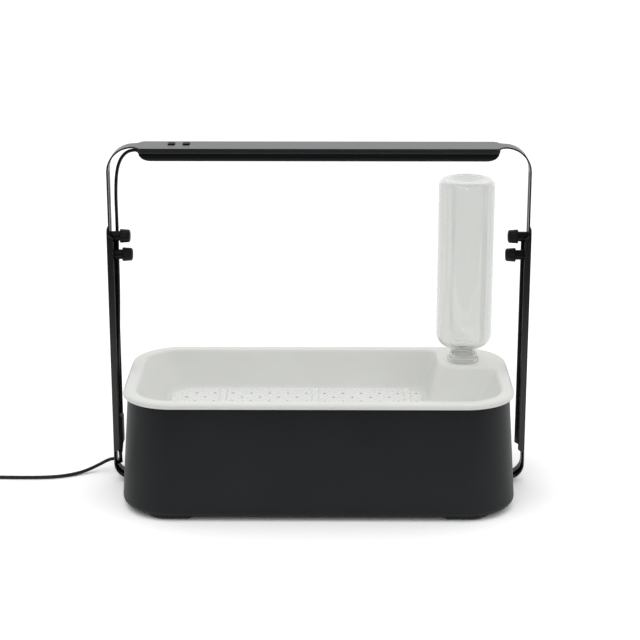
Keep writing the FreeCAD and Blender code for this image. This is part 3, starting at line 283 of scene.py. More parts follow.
def curved(first, middle, last, steps=6):
    # loops that turn smoothly from the first through the pull of the middle to the last
    rows = []
    for k in range(steps + 1):
        t = k / steps
        rows.append([tuple((1 - t) ** 2 * a + 2 * t * (1 - t) * b + t * t * c
                           for a, b, c in zip(p, q, r)) for p, q, r in zip(first, middle, last)])
    return rows


def skin(bm, rows):
    # quads between loops of equal count; returns the vertices of the first and last loop
    made = [[bm.verts.new(p) for p in row] for row in rows]
    count = len(made[0])
    for low, high in zip(made, made[1:]):
        for i in range(count):
            j = (i + 1) % count
            bm.faces.new((low[i], low[j], high[j], high[i]))
    return made[0], made[-1]


def fill(bm, *loops, up=None):
    # flat face inside the first loop, with the other loops left open
    edges = []
    for loop in loops:
        for i, vert in enumerate(loop):
            pair = (vert, loop[(i + 1) % len(loop)])
            edges.append(bm.edges.get(pair) or bm.edges.new(pair))
    made = bmesh.ops.triangle_fill(bm, edges=edges, use_beauty=True)["geom"]
    for face in made:
        if isinstance(face, bmesh.types.BMFace):
            face.normal_update()
            if up is not None and face.normal.z * up < 0:
                face.normal_flip()


def sheetSolid(bm, loops, low, high, ease, spot, steps=8, easeSteps=2):
    # plate between two levels with eased edges; the first loop is outside, the others holes
    known = set(bm.verts)
    inset = [(ease + 0.5, low)] + [(ease * out, low + ease * up) for out, up in quarter(easeSteps)]
    inset += [(reach, high + low - z) for reach, z in reversed(inset)]
    ends = []
    for index, loop in enumerate(loops):
        side = -1 if index == 0 else 1
        rows = [around(loop, steps, z, side * reach) for reach, z in inset]
        ends.append(skin(bm, rows))
    fill(bm, *[first for first, _ in ends])
    fill(bm, *[last for _, last in ends])
    if spot:
        for vert in set(bm.verts) - known:
            vert.co = spot(*vert.co)


def turnedRows(profile, steps, spot, radial=None):
    # profile of (radius, height) turned round the axis; spot puts a turned point in place
    rows = []
    for radius, height in profile:
        row = []
        for i in range(steps):
            angle = 2 * math.pi * i / steps
            r = radial(radius, height, angle) if radial else radius
            row.append(spot(r * math.cos(angle), r * math.sin(angle), height))
        rows.append(row)
    return rows


def capped(bm, rows):
    # skin over the rows with both ends closed
    for end in skin(bm, rows):
        fill(bm, end)


def piece(name, bm, materials, body, replaces=(), angle=32, closed=True,
          merge=0.002, carries=True):
    bmesh.ops.remove_doubles(bm, verts=bm.verts, dist=merge)
    bmesh.ops.dissolve_degenerate(bm, edges=bm.edges, dist=merge)
    if closed:
        bmesh.ops.recalc_face_normals(bm, faces=bm.faces)
    for face in bm.faces:
        face.smooth = True
    limit = math.radians(angle)
    for edge in bm.edges:
        if len(edge.link_faces) == 2 and edge.calc_face_angle() > limit:
            edge.smooth = False
    bmesh.ops.scale(bm, vec=(mm, mm, mm), verts=bm.verts)
    mesh = bpy.data.meshes.new(name)
    bm.to_mesh(mesh)
    bm.free()
    made = bpy.data.objects.new(name, mesh)
    scene.collection.objects.link(made)
    for material in materials if isinstance(materials, (list, tuple)) else [materials]:
        mesh.materials.append(material)
    if carries:
        settle(made, body, replaces)
    return made


def settle(made, body, replaces=()):
    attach(made, body)
    if replaces:
        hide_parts(*replaces)


def baked(source, name, materials=()):
    # the evaluated object as a plain mesh of its own
    bpy.context.view_layer.update()
    depsgraph = bpy.context.evaluated_depsgraph_get()
    mesh = bpy.data.meshes.new_from_object(source.evaluated_get(depsgraph))
    mesh.name = name
    bpy.data.objects.remove(source)
    made = bpy.data.objects.new(name, mesh)
    scene.collection.objects.link(made)
    if materials:
        mesh.materials.clear()
        for material in materials:
            mesh.materials.append(material)
    return made


# cords: the route's points are the control points of one smooth spline each
def spline(name, points, diameter=0.0):
    data = bpy.data.curves.new(name, "CURVE")
    data.dimensions = "3D"
    line = data.splines.new("NURBS")
    line.points.add(len(points) - 1)
    for point, (x, y, z) in zip(line.points, points):
        point.co = (x * mm, y * mm, z * mm, 1)
    line.order_u = 3
    line.use_endpoint_u = True
    line.use_smooth = True
    data.resolution_u = 10
    data.bevel_depth = diameter / 2 * mm
    data.bevel_resolution = 5
    data.use_fill_caps = True
    made = bpy.data.objects.new(name, data)
    scene.collection.objects.link(made)
    return made


lead = dict(diameter=4.2, length=350.9, bendLow=105, bendHigh=405)
leadRoute = [(-230, 34.5, 437.5), (-239, 34.5, 437.5), (-249.5, 34.5, 428), (-255.5, 34.5, 411),
             (-257.5, 34.5, 382), (-257, 34.5, 345), (-257.5, 34.5, 305), (-257.5, 34, 262),
             (-258.5, 31.5, 215), (-260, 27.5, 168), (-261, 24, 128), (-261, 24, 101)]
leadLine = baked(spline("leadLine", leadRoute), "leadLine")
bpy.data.objects.remove(leadLine)
leadPiece = baked(spline("lampLead", leadRoute, lead["diameter"]), "lampLead", [sheathPlastic])
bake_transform(leadPiece)
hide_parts("lamp_cable")

supply = dict(diameter=4.5, length=1597.7)
coil = dict(x=-474, y=20, low=2.25, rise=5.1, core=17.5, pitch=5.1, turns=4, tail=20, perHalf=8)
supplyRoute = [(-261, 24, 37), (-261, 24, 25), (-262, 40, 17), (-267.5, 51, 17),
               (-279, 55, 15.3), (-295, 50.5, 7.5), (-311, 40, 3.2), (-326, 30.5, 2.25),
               (-342, 23.5, 2.25), (-361, 20, 2.25), (-382, 19.2, 2.25), (-403, 19.5, 2.25),
               (-424, 20.2, 2.25), (-445, 20, 2.25), (-466, 20, 2.25)]


def coilTurns():
    # half turns inwards on the worktop, one that climbs, half turns outwards on top
    step = coil["pitch"] / 2
    halves = 2 * coil["turns"]
    outer = coil["core"] + (halves - 1) * step
    radii = [outer - k * step for k in range(halves)] + [coil["core"] - step]
    radii += [coil["core"] + k * step for k in range(halves - 1)]
    count, points, y, side = coil["perHalf"], [], coil["y"], -1
    pull = 1 / math.cos(math.pi / (2 * count))
    for index, radius in enumerate(radii):
        climbs = index == halves
        base = coil["low"] + (coil["rise"] if index > halves else 0)
        middle = y + side * radius
        for k in range(count):
            share = (k + 0.5) / count
            angle = math.pi * share
            z = base + (coil["rise"] * share if climbs else 0)
            points.append((coil["x"] + side * radius * pull * math.sin(angle),
                           middle - side * radius * pull * math.cos(angle), z))
        y, side = y + 2 * side * radius, -side
    top = coil["low"] + coil["rise"]
    for k in range(count // 2):  # the last quarter turn
        angle = math.pi * (k + 0.5) / count
        points.append((coil["x"] - outer * pull * math.sin(angle),
                       y - outer + outer * pull * math.cos(angle), top))
    end = (coil["x"] - outer, y - outer - coil["tail"], top)
    points.append((end[0], end[1] + coil["tail"] - 6, top))
    points.append(end)
    return points, end


turnPoints, cordEnd = coilTurns()
supplyPiece = spline("supplyCord", supplyRoute + turnPoints, supply["diameter"])
supplyPiece.data.materials.append(sheathPlastic)
settle(supplyPiece, "root", ("supply_cord", "cord_coil"))
print("cords laid, coil ends at", [round(v, 1) for v in cordEnd])

# white floor and backdrop, and a dimmer room behind the camera for the black parts to reflect
stageSettings = dict(lowLight=0.22, highLight=1.28, roomLight=0.06, floorSeen=1.24, floorLight=0.9)
world = bpy.data.worlds.new("studio")
scene.world = world
world.use_nodes = True
worldTree = world.node_tree
worldTree.nodes.clear()
rays = addNode(worldTree, "ShaderNodeLightPath")
heading = addNode(worldTree, "ShaderNodeSeparateXYZ", {
    0: addNode(worldTree, "ShaderNodeTexCoord").outputs["Object"]})
towardsRoom = addNode(worldTree, "ShaderNodeMapRange", {
    "Value": heading.outputs["Y"], "From Min": -0.35, "From Max": 0.45,
    "To Min": stageSettings["roomLight"], "To Max": 1.0})
upwards = addNode(worldTree, "ShaderNodeMapRange", {
    "Value": heading.outputs["Z"], "To Min": stageSettings["lowLight"],
    "To Max": stageSettings["highLight"]})
ambient, mirrored, backdrop = (addNode(worldTree, "ShaderNodeBackground", {
    "Color": (1, 1, 1, 1), "Strength": strength}).outputs[0] for strength in (
        upwards.outputs["Result"], towardsRoom.outputs["Result"], 1.0))
seen = reckon(worldTree, "MAXIMUM", rays.outputs["Is Camera Ray"], rays.outputs["Is Transmission Ray"])
unseen = addNode(worldTree, "ShaderNodeMixShader", {
    0: rays.outputs["Is Glossy Ray"], 1: ambient, 2: mirrored})
chosen = addNode(worldTree, "ShaderNodeMixShader", {
    0: seen, 1: unseen.outputs[0], 2: backdrop})
addNode(worldTree, "ShaderNodeOutputWorld", {"Surface": chosen.outputs[0]})

# the camera sees a brighter floor than the one that lights the product: the shadow stays and
# the rest is white
floorFinish = bpy.data.materials.new("paintedFloor")
floorFinish.use_nodes = True
floorTree = floorFinish.node_tree
floorTree.nodes.clear()
floorRays = addNode(floorTree, "ShaderNodeLightPath")
floorPlain, floorSeen = (addNode(floorTree, "ShaderNodeBsdfDiffuse", {
    "Color": [stageSettings[tone]] * 3 + [1]}).outputs[0] for tone in ("floorLight", "floorSeen"))
floorMix = addNode(floorTree, "ShaderNodeMixShader", {
    0: floorRays.outputs["Is Camera Ray"], 1: floorPlain, 2: floorSeen})
addNode(floorTree, "ShaderNodeOutputMaterial", {"Surface": floorMix.outputs[0]})
floorMesh = bmesh.new()
floorEdge = ((-9000, -640), (9000, -640), (9000, 14000), (-9000, 14000))
floorMesh.faces.new([floorMesh.verts.new((x, y, -0.2)) for x, y in floorEdge])
floor = piece("studioFloor", floorMesh, floorFinish, None, closed=False, carries=False)


def softbox(name, place, target, size, power):
    lamp = bpy.data.lights.new(name, "AREA")
    lamp.shape, lamp.size, lamp.energy = "SQUARE", size, power
    made = bpy.data.objects.new(name, lamp)
    scene.collection.objects.link(made)
    made.location = place
    made.rotation_euler = (Vector(target) - Vector(place)).to_track_quat("-Z", "Y").to_euler()
    made.visible_camera = False


# the small light over the camera makes the white glints on the glass shoulder
lights = dict(
    keyLight=dict(place=(-0.5, -0.9, 1.9), target=(0, 0, 0.15), size=1.3, power=4),
    fillLight=dict(place=(1.5, -0.6, 1.1), target=(0, 0, 0.2), size=1.0, power=1.5),
    glintLight=dict(place=(0.05, -2.3, 1.25), target=(0.19, 0, 0.2), size=0.22, power=2.5))
for name, settings in lights.items():
    softbox(name, **settings)
print("studio lit")

# black tub: flared wall, rounded bottom edge, 3 mm shell, four feet
tub = dict(topX=239, topY=115, topCorner=59, flare=9, baseCorner=67, low=5, high=150.4, wall=3,
           edge=9, under=7)


def tubLoop(z, inset):
    share = (tub["high"] - z) / (tub["high"] - tub["low"])
    x, y = tub["topX"] + share * (tub["flare"] + 1), tub["topY"] + share * tub["flare"]
    corner = tub["topCorner"] + share * (tub["baseCorner"] - tub["topCorner"])
    return around(block(-x, x, -y, y, corner), 20, z, -inset)


bm = bmesh.new()
tubRows = [tubLoop(z, inset) for z, inset in ((tub["under"], 17), (tub["under"], 14.5), (6.6, 13.2),
                                              (5.5, 11.6), (5.05, 10.2))]
tubRows += [tubLoop(tub["low"] + tub["edge"] * up, tub["edge"] * out) for out, up in quarter(10)]
tubRows += [tubLoop(z, 0) for z in (55, 90, 120)]
tubRows += [tubLoop(tub["high"] - 0.5, 0), tubLoop(tub["high"], 0.5), tubLoop(tub["high"], tub["wall"])]
inner = tub["edge"] - tub["wall"]
tubRows += [tubLoop(tub["low"] + tub["wall"] + inner * up, tub["wall"] + inner * out)
            for out, up in reversed(quarter(6))]
capped(bm, tubRows)


def footLoop(sideX, sideY, length, depth, corner, ease=0.0):
    # the corner that faces out is round, like the tub's own corner above it
    near, far = (sideX * (foot["x"] + sign * length / 2) for sign in (-1, 1))
    back, front = (sideY * (foot["y"] + sign * depth / 2) for sign in (-1, 1))
    loop = [(near, back, 4), (far, back, 4), (far, front, corner), (near, front, 4)]
    if sideX * sideY < 0:
        loop.reverse()
    return outline(grown(loop, -ease), 10)


foot = dict(x=187.5, y=103, sole=(58, 30), root=(68, 32), corner=27, padIn=3)
for sideX in (-1, 1):
    for sideY in (-1, 1):
        rows = []
        for share, z, ease in ((0, 2.0, 1.0), (0, 2.3, 0.35), (0.04, 3.0, 0), (0.3, 5.5, 0),
                               (0.62, 8, 0), (1, 12, 0)):
            size = [a + (b - a) * share for a, b in zip(foot["sole"], foot["root"])]
            rows.append(level(footLoop(sideX, sideY, *size, foot["corner"], ease), z))
        capped(bm, rows)
piece("tubShell", bm, tubPlastic, "root", ("tub_shell",))

bm = bmesh.new()
for sideX in (-1, 1):
    for sideY in (-1, 1):
        x, y = sideX * foot["x"], sideY * (foot["y"] - foot["padIn"])
        sheetSolid(bm, [block(x - 18, x + 18, y - 7, y + 7, 4)], 0, 1.98, 0.5, None)
piece("footPads", bm, padRubber, "root", ("foot_pads",))
print("tub shaped")

# white liner: rolled lip, sloped basin, shelf, well and the bottle island with its cup
liner = dict(halfX=245, halfY=120, corner=64, top=153, lipDrop=7, roll=4, wall=2.5, shelf=102,
             floor=50, bore=19.15, bottleX=189, bottleY=60, cupFloor=119)
openTop = [(-229, -104, 48), (229, -104, 48), (229, 27, 14), (156, 27, 34), (156, 104, 14),
           (-229, 104, 48)]
openLow = [(-197, -90, 36), (205, -90, 36), (205, 12, 14), (141, 12, 26), (141, 90, 14), (-197, 90, 36)]
well = block(-185, 126, -78, 78, 20)


def linerSkin(bm):
    top, roll = liner["top"], liner["roll"]
    rim = block(-liner["halfX"], liner["halfX"], -liner["halfY"], liner["halfY"], liner["corner"])
    low = top - liner["lipDrop"]
    rows = [around(rim, 18, low, -1.2), around(rim, 18, low + 0.2, -0.3),
            around(rim, 18, low + 1), around(rim, 18, top - roll)]
    rows += [around(rim, 18, top - roll * out, -roll * up) for out, up in quarter(7)[1:]]
    rows.append(around(rim, 18, top, -roll - 0.7))
    _, rimEdge = skin(bm, rows)

    edge = around(openTop, 16, top)
    base = around(openLow, 16, liner["shelf"])
    rows = [around(openTop, 16, top, 4.4)]
    rows += curved(around(openTop, 16, top, 3.6), edge, between(edge, base, 0.075), 6)
    rows += [between(edge, base, share) for share in (0.3, 0.55)]
    rows += curved(between(edge, base, 0.84), base, around(openLow, 16, liner["shelf"], -8), 7)
    rows.append(around(openLow, 16, liner["shelf"], -8.6))
    openEdge, shelfEdge = skin(bm, rows)

    mouth = around(well, 12, liner["shelf"])
    rows = [around(well, 12, liner["shelf"], 3.6)]
    rows += curved(around(well, 12, liner["shelf"], 3), mouth, around(well, 12, 99), 5)
    rows += curved(around(well, 12, 60), around(well, 12, liner["floor"]),
                   around(well, 12, liner["floor"], -10), 6)
    wellEdge, wellFloor = skin(bm, rows)

    cup = ring(liner["bottleX"], liner["bottleY"], liner["bore"])
    rows = [around(cup, 12, top, 2.2)]
    rows += curved(around(cup, 12, top, 1.6), around(cup, 12, top),
                   around(cup, 12, top - 1.8), 4)
    rows += curved(around(cup, 12, liner["cupFloor"] + 3), around(cup, 12, liner["cupFloor"]),
                   around(cup, 12, liner["cupFloor"], -3), 4)
    cupEdge, cupFloor = skin(bm, rows)
    fill(bm, rimEdge, openEdge, cupEdge, up=1)
    fill(bm, shelfEdge, wellEdge, up=1)
    fill(bm, wellFloor, up=1)
    fill(bm, cupFloor, up=1)


bm = bmesh.new()
linerSkin(bm)
linerPiece = piece("linerBasin", bm, linerPlastic, "root", closed=False, carries=False, angle=40)
shell = linerPiece.modifiers.new("wallThickness", "SOLIDIFY")
shell.thickness, shell.offset = liner["wall"] * mm, -1
linerPiece = baked(linerPiece, "linerBasin", [linerPlastic])
settle(linerPiece, "root", ("liner_basin",))
print("liner shaped")

# perforated grow plate: the node tree places the holes and the ribs
growPlate = dict(left=-194, right=135, half=87, corner=33, low=102, thick=3, pitch=24.2, row=16,
                 hole=2, ribX=-126, ribPitch=121, ribWide=9, ribHigh=2.5, ribHalf=81, ribGap=7.5)


def plateTree():
    tree = bpy.data.node_groups.new("perforatedPlate", "GeometryNodeTree")
    face = tree.interface
    face.new_socket("Geometry", in_out="OUTPUT", socket_type="NodeSocketGeometry")
    face.new_socket("Geometry", in_out="INPUT", socket_type="NodeSocketGeometry")
    face.new_socket("Rib", in_out="INPUT", socket_type="NodeSocketObject")
    face.new_socket("Finish", in_out="INPUT", socket_type="NodeSocketMaterial")
    for name in ("Hole Radius", "Hole Pitch", "Row Gap", "First Rib", "Rib Pitch", "Rib Clearance",
                 "Plate Middle"):
        face.new_socket(name, in_out="INPUT", socket_type="NodeSocketFloat")
    start = addNode(tree, "NodeGroupInput").outputs
    gap = reckon(tree, "MULTIPLY", start["Row Gap"], 2.0)
    grids = []
    for columns, rows, middle in ((13, 5, 0.5), (13, 4, 0.0)):  # staggered rows
        wide = reckon(tree, "MULTIPLY", start["Hole Pitch"], columns - 1.0)
        deep = reckon(tree, "MULTIPLY", gap, rows - 1.0)
        grid = addNode(tree, "GeometryNodeMeshGrid", {
            "Size X": wide, "Size Y": deep, "Vertices X": columns, "Vertices Y": rows})
        # each grid is centred on a hole column of its own, one pitch left of the middle rib
        shiftX = reckon(tree, "MULTIPLY_ADD", start["Hole Pitch"], middle - 1.0, start["Plate Middle"])
        shift = addNode(tree, "ShaderNodeCombineXYZ", {"X": shiftX})
        grids.append(addNode(tree, "GeometryNodeTransform", {
            "Geometry": grid.outputs["Mesh"], "Translation": shift.outputs[0]}).outputs[0])
    spots = addNode(tree, "GeometryNodeJoinGeometry")
    for grid in grids:
        tree.links.new(grid, spots.inputs[0])
    placeX = addNode(tree, "ShaderNodeSeparateXYZ", {
        0: addNode(tree, "GeometryNodeInputPosition").outputs[0]}).outputs["X"]
    offRib = reckon(tree, "SUBTRACT", placeX, start["First Rib"])
    halfPitch = reckon(tree, "MULTIPLY", start["Rib Pitch"], 0.5)
    lowPitch = reckon(tree, "MULTIPLY", start["Rib Pitch"], -0.5)
    wrapped = reckon(tree, "WRAP", offRib, halfPitch, lowPitch)
    away = reckon(tree, "ABSOLUTE", wrapped)
    under = reckon(tree, "LESS_THAN", away, start["Rib Clearance"])
    kept = addNode(tree, "GeometryNodeDeleteGeometry", {
        "Geometry": spots.outputs[0], "Selection": under}, domain="POINT")
    drill = addNode(tree, "GeometryNodeMeshCylinder", {
        "Vertices": 18, "Radius": start["Hole Radius"], "Depth": 0.02})
    drills = addNode(tree, "GeometryNodeInstanceOnPoints", {
        "Points": kept.outputs[0], "Instance": drill.outputs["Mesh"]})
    plateLevel = addNode(tree, "GeometryNodeTransform", {
        "Geometry": drills.outputs[0], "Translation": (0, 0, growPlate["low"] * mm)})
    solid = addNode(tree, "GeometryNodeRealizeInstances", {0: plateLevel.outputs[0]})
    pierced = addNode(tree, "GeometryNodeMeshBoolean", operation="DIFFERENCE", solver="EXACT")
    tree.links.new(start["Geometry"], pierced.inputs["Mesh 1"])
    tree.links.new(solid.outputs[0], pierced.inputs["Mesh 2"])
    stepX = addNode(tree, "ShaderNodeCombineXYZ", {"X": start["Rib Pitch"]})
    firstX = addNode(tree, "ShaderNodeCombineXYZ", {"X": start["First Rib"]})
    ribLine = addNode(tree, "GeometryNodeMeshLine", {
        "Count": 3, "Start Location": firstX.outputs[0], "Offset": stepX.outputs[0]})
    ribShape = addNode(tree, "GeometryNodeObjectInfo", {"Object": start["Rib"]})
    ribs = addNode(tree, "GeometryNodeInstanceOnPoints", {
        "Points": ribLine.outputs[0], "Instance": ribShape.outputs["Geometry"]})
    joined = addNode(tree, "GeometryNodeJoinGeometry")
    tree.links.new(ribs.outputs[0], joined.inputs[0])
    tree.links.new(pierced.outputs[0], joined.inputs[0])
    real = addNode(tree, "GeometryNodeRealizeInstances", {0: joined.outputs[0]})
    dressed = addNode(tree, "GeometryNodeSetMaterial", {
        "Geometry": real.outputs[0], "Material": start["Finish"]})
    addNode(tree, "NodeGroupOutput", {0: dressed.outputs[0]})
    return tree


bm = bmesh.new()
g = growPlate
sheetSolid(bm, [block(g["left"], g["right"], -g["half"], g["half"], g["corner"])],
           g["low"] + 0.02, g["low"] + g["thick"], 0.9, None, easeSteps=4, steps=14)
platePiece = piece("growPlate", bm, platePlastic, "grow_plate_body", carries=False)
bm = bmesh.new()
rib = block(-g["ribWide"] / 2, g["ribWide"] / 2, -g["ribHalf"], g["ribHalf"], 4.4)
ribRows = [around(rib, 8, g["low"] + g["thick"] + z, -inset) for inset, z in (
    (0, -0.8), (0, 1.0), (0.12, 1.6), (0.5, 2.1), (1.1, 2.4), (1.9, g["ribHigh"]))]
capped(bm, ribRows)
ribTool = piece("ribTool", bm, platePlastic, None, carries=False)
pierce = platePiece.modifiers.new("perforations", "NODES")
tree = plateTree()
pierce.node_group = tree
given = {"Rib": ribTool, "Finish": platePlastic, "Hole Radius": g["hole"] * mm,
         "Hole Pitch": g["pitch"] * mm, "Row Gap": g["row"] * mm, "First Rib": g["ribX"] * mm,
         "Rib Pitch": g["ribPitch"] * mm, "Rib Clearance": g["ribGap"] * mm,
         "Plate Middle": (g["ribX"] + g["ribPitch"]) * mm}
for item in tree.interface.items_tree:
    if item.in_out == "INPUT" and item.name in given:
        pierce[item.identifier] = given[item.name]
platePiece = baked(platePiece, "growPlate")
bm = bmesh.new()
bm.from_mesh(platePiece.data)
bmesh.ops.remove_doubles(bm, verts=bm.verts, dist=1e-6)
for face in bm.faces:
    face.smooth = abs(face.normal.z) < 0.999
for edge in bm.edges:
    edge.smooth = len(edge.link_faces) == 2 and edge.calc_face_angle() < math.radians(28)
bm.to_mesh(platePiece.data)
bm.free()
bpy.data.objects.remove(ribTool)
settle(platePiece, "grow_plate_body", ("grow_plate",))
print("grow plate pierced:", len(platePiece.data.polygons), "faces")

# lower frame: one bent strip under the tub, its ends stand up as channel posts
posts = dict(outer=268, sheet=2, y1=9, y2=39, top=342, bend=21, low=5, frontReach=8.4,
             backReach=10.4, flangeLow=42, flangeHigh=333, bevel=4.3, sink=0.03)


def flatSheet(sheet):
    # lengths along the outer face: to the bend, past it, and half of the whole
    sheet["bendStart"] = abs(sheet["end"] - sheet["start"]) - sheet["bend"]
    sheet["bendEnd"] = sheet["bendStart"] + sheet["bend"] * math.pi / 2
    sheet["half"] = sheet["bendEnd"] + sheet["outer"] - sheet["bend"]
    return sheet


def bent(sheet, u, v, w):
    # u runs along the left leg, across and along the right leg; w goes inwards
    outer, bend, way = sheet["outer"], sheet["bend"], 1 if sheet["end"] > sheet["start"] else -1
    side = -1
    if u > sheet["half"]:
        u, side = 2 * sheet["half"] - u, 1
    if u < sheet["bendStart"]:
        return side * (outer - w), v, sheet["start"] + way * u
    angle = (u - sheet["bendStart"]) / bend
    if angle < math.pi / 2:
        reach = bend - w
        return (side * (outer - bend + reach * math.cos(angle)), v,
                sheet["end"] - way * (bend - reach * math.sin(angle)))
    return side * (outer - bend - (u - sheet["bendEnd"])), v, sheet["end"] - way * w


def bendSheet(bm, sheet, steps, middle=()):
    turn = sheet["bendEnd"] - sheet["bendStart"]
    places = [sheet["bendStart"] + turn * k / steps for k in range(steps + 1)]
    for place in places + [2 * sheet["half"] - u for u in places] + list(middle):
        bmesh.ops.bisect_plane(bm, geom=bm.verts[:] + bm.edges[:] + bm.faces[:],
                               plane_co=(place, 0, 0), plane_no=(1, 0, 0))
    for vert in bm.verts:
        vert.co = bent(sheet, *vert.co)


strip = flatSheet(dict(start=posts["top"], end=posts["low"], outer=posts["outer"] - posts["sink"],
                       bend=posts["bend"]))
stripHalf = strip["half"]
bm = bmesh.new()
postHoles = [ring(u, 24, 3.05) for u in (13, 37, 2 * stripHalf - 13, 2 * stripHalf - 37)]
screwHoles = [ring(stripHalf + x, 24, 2.2) for x in (-205, -95, 95, 205)]
sheetSolid(bm, [block(0, 2 * stripHalf, posts["y1"] + posts["sink"], posts["y2"] - posts["sink"], 7)]
           + postHoles + screwHoles, 0, posts["sheet"], 0.7, None)
bendSheet(bm, strip, 12, [stripHalf])
for side in (-1, 1):
    web = posts["outer"] - posts["sheet"]
    for low, reach in ((posts["y1"], posts["frontReach"]),
                       (posts["y2"] - posts["sheet"], posts["backReach"])):
        lip = posts["outer"] - reach
        flange = [(posts["outer"], posts["flangeLow"], 0), (posts["outer"], posts["flangeHigh"], 0),
                  (web, posts["flangeHigh"], 1.0), (lip, posts["flangeHigh"] - posts["bevel"], 1.5),
                  (lip, posts["flangeLow"] + posts["bevel"], 1.5), (web, posts["flangeLow"], 1.0)]
        sheetSolid(bm, [flange], low, low + posts["sheet"], 0.7,
                   lambda x, z, y, side=side: (side * x, y, z))
piece("lowerFrame", bm, powderCoat, "root", ("lower_frame", "post_flanges"),
      angle=30)
print("lower frame bent")

# arch: slotted arms and the wide lamp plate from one bent sheet
arch = dict(outer=265.9, top=446, bend=33, low=238, sheet=2, arm=12.5, plate=25, y=24, plateEnd=225.5,
            cove=9, round=7, slotLow=249, slotHigh=413, slotHalf=3.3)
archSheet = flatSheet(dict(start=arch["low"], end=arch["top"], outer=arch["outer"], bend=arch["bend"]))
archHalf = archSheet["half"]
bm = bmesh.new()
y, arm, wide = arch["y"], arch["arm"], arch["plate"]
u1, u2, end = archHalf - arch["plateEnd"], archHalf + arch["plateEnd"], 2 * archHalf
sheetOutline = [
    (0, y - arm, 3), (u1, y - arm, arch["cove"]), (u1, y - wide, arch["round"]),
    (u2, y - wide, arch["round"]), (u2, y - arm, arch["cove"]), (end, y - arm, 3),
    (end, y + arm, 3), (u2, y + arm, arch["cove"]), (u2, y + wide, arch["round"]),
    (u1, y + wide, arch["round"]), (u1, y + arm, arch["cove"]), (0, y + arm, 3)]
slotFrom, slotTo = arch["slotLow"] - arch["low"], arch["slotHigh"] - arch["low"]
slots = [block(low, high, y - arch["slotHalf"], y + arch["slotHalf"], arch["slotHalf"] - 0.01)
         for low, high in ((slotFrom, slotTo), (end - slotTo, end - slotFrom))]
keys = dict(first=-185, second=-166.4, y=31, wide=8.6, deep=12, fit=0.3, proud=1.4, round=1.2)


def keyOutline(x, fit=0):
    halfX, halfY = keys["wide"] / 2 + fit, keys["deep"] / 2 + fit
    return block(x - halfX, x + halfX, keys["y"] - halfY, keys["y"] + halfY, keys["round"] + fit)


keyHoles = [keyOutline(archHalf + x, keys["fit"]) for x in (keys["first"], keys["second"])]
sheetSolid(bm, [sheetOutline] + slots + keyHoles, 0, arch["sheet"], 0.4, None)
bendSheet(bm, archSheet, 16)
piece("archFrame", bm, powderCoat, "arch", ("arch_frame",), angle=30)
print("arch bent")

# lamp housing: anodised lid line above, black body below, ends curved in, open underneath
lamp = dict(half=225, front=1, back=47, top=443.98, seam=438.7, low=429.3, endRound=13.5,
            windowX=196.8, windowY=20.2, ceiling=441.5)


def lampLoop(z, halfX, halfY, corner=2.2):
    middle = (lamp["front"] + lamp["back"]) / 2
    return around(block(-halfX, halfX, middle - halfY, middle + halfY, corner), 5, z)


bm = bmesh.new()
endLine = outline([(lamp["half"], 444), (lamp["half"], lamp["low"], lamp["endRound"]),
                   (180, lamp["low"])], 16, closed=False)


def lampReach(z):
    # how far the end face stands out at a level: a quarter round from the plate to the underside
    turn = lamp["endRound"]
    drop = max(0, lamp["low"] + turn - z) / turn
    return lamp["half"] - turn * (1 - math.sqrt(max(0, 1 - drop ** 2)))


seam = lamp["seam"]
upper, _ = skin(bm, [lampLoop(z, lampReach(z) - tuck, 23 - tuck) for z, tuck in (
    (lamp["top"], 2), (lamp["top"], 0.4), (lamp["top"] - 0.4, 0), (442, 0), (440.5, 0), (seam + 0.9, 0),
    (seam + 0.5, 0.2), (seam + 0.4, 1.5))])
fill(bm, upper)
lidFaces = set(bm.faces)
rows = [lampLoop(z, lampReach(z) - tuck, 23 - tuck) for z, tuck in (
    (seam + 0.4, 1.5), (seam - 0.4, 1.5), (seam - 0.5, 0.4))]
for x, z in endLine:
    if z < seam - 0.8 and x > 212.5:
        drop = (seam - z) / (seam - lamp["low"])
        tuck = 2.8 * max(0, (drop - 0.55) / 0.45) ** 2
        rows.append(lampLoop(z, x - 0.1, 22.8 - tuck, 2.2 + 2 * drop))
rows.append(lampLoop(lamp["low"], 208, 19.6, 3.4))
window = lampLoop(lamp["low"], lamp["windowX"] + 0.2, lamp["windowY"] - 1.4, 3)
rows += [window, lampLoop(lamp["low"] + 0.6, lamp["windowX"], lamp["windowY"] - 1.2, 3),
         lampLoop(lamp["ceiling"], lamp["windowX"], lamp["windowY"] - 1.2, 3)]
_, ceiling = skin(bm, rows)
fill(bm, ceiling)
for face in bm.faces:
    face.material_index = 0 if face in lidFaces else 1
piece("lampHousing", bm, [lidMetal, lampPlastic], "arch", ("lamp_housing",), merge=0.0005)

# keys: a shallow dish on top for the fingertip
for keyName, x, body in (("powerKey", keys["first"], "button_power_body"),
                         ("timerKey", keys["second"], "button_timer_body")):
    bm = bmesh.new()
    cap = keyOutline(x)
    high = arch["top"] + keys["proud"]
    rows = [around(cap, 6, 443.2), around(cap, 6, high - 0.5),
            around(cap, 6, high - 0.15, -0.15), around(cap, 6, high, -0.5)]
    spots = outline(grown(cap, -1.0), 6)
    for share, depth in ((1, 0.02), (0.7, 0.18), (0.4, 0.3), (0.12, 0.34)):
        rows.append([(x + (px - x) * share, keys["y"] + (py - keys["y"]) * share, high - depth)
                     for px, py in spots])
    capped(bm, rows)
    piece(keyName, bm, keyPlastic, body,
          ("button_power",) if x == keys["first"] else ("button_timer",))
print("lamp built")

# clamp knobs: fluted heads, turned collars
knob = dict(radius=8.9, taper=0.7, length=12.6, flutes=14, fluteR=1.5, fluteOut=0.7,
            stop=1.5, upperZ=329, lowerZ=305, upperFace=239.5, lowerFace=237, y=24, armInner=263.8)


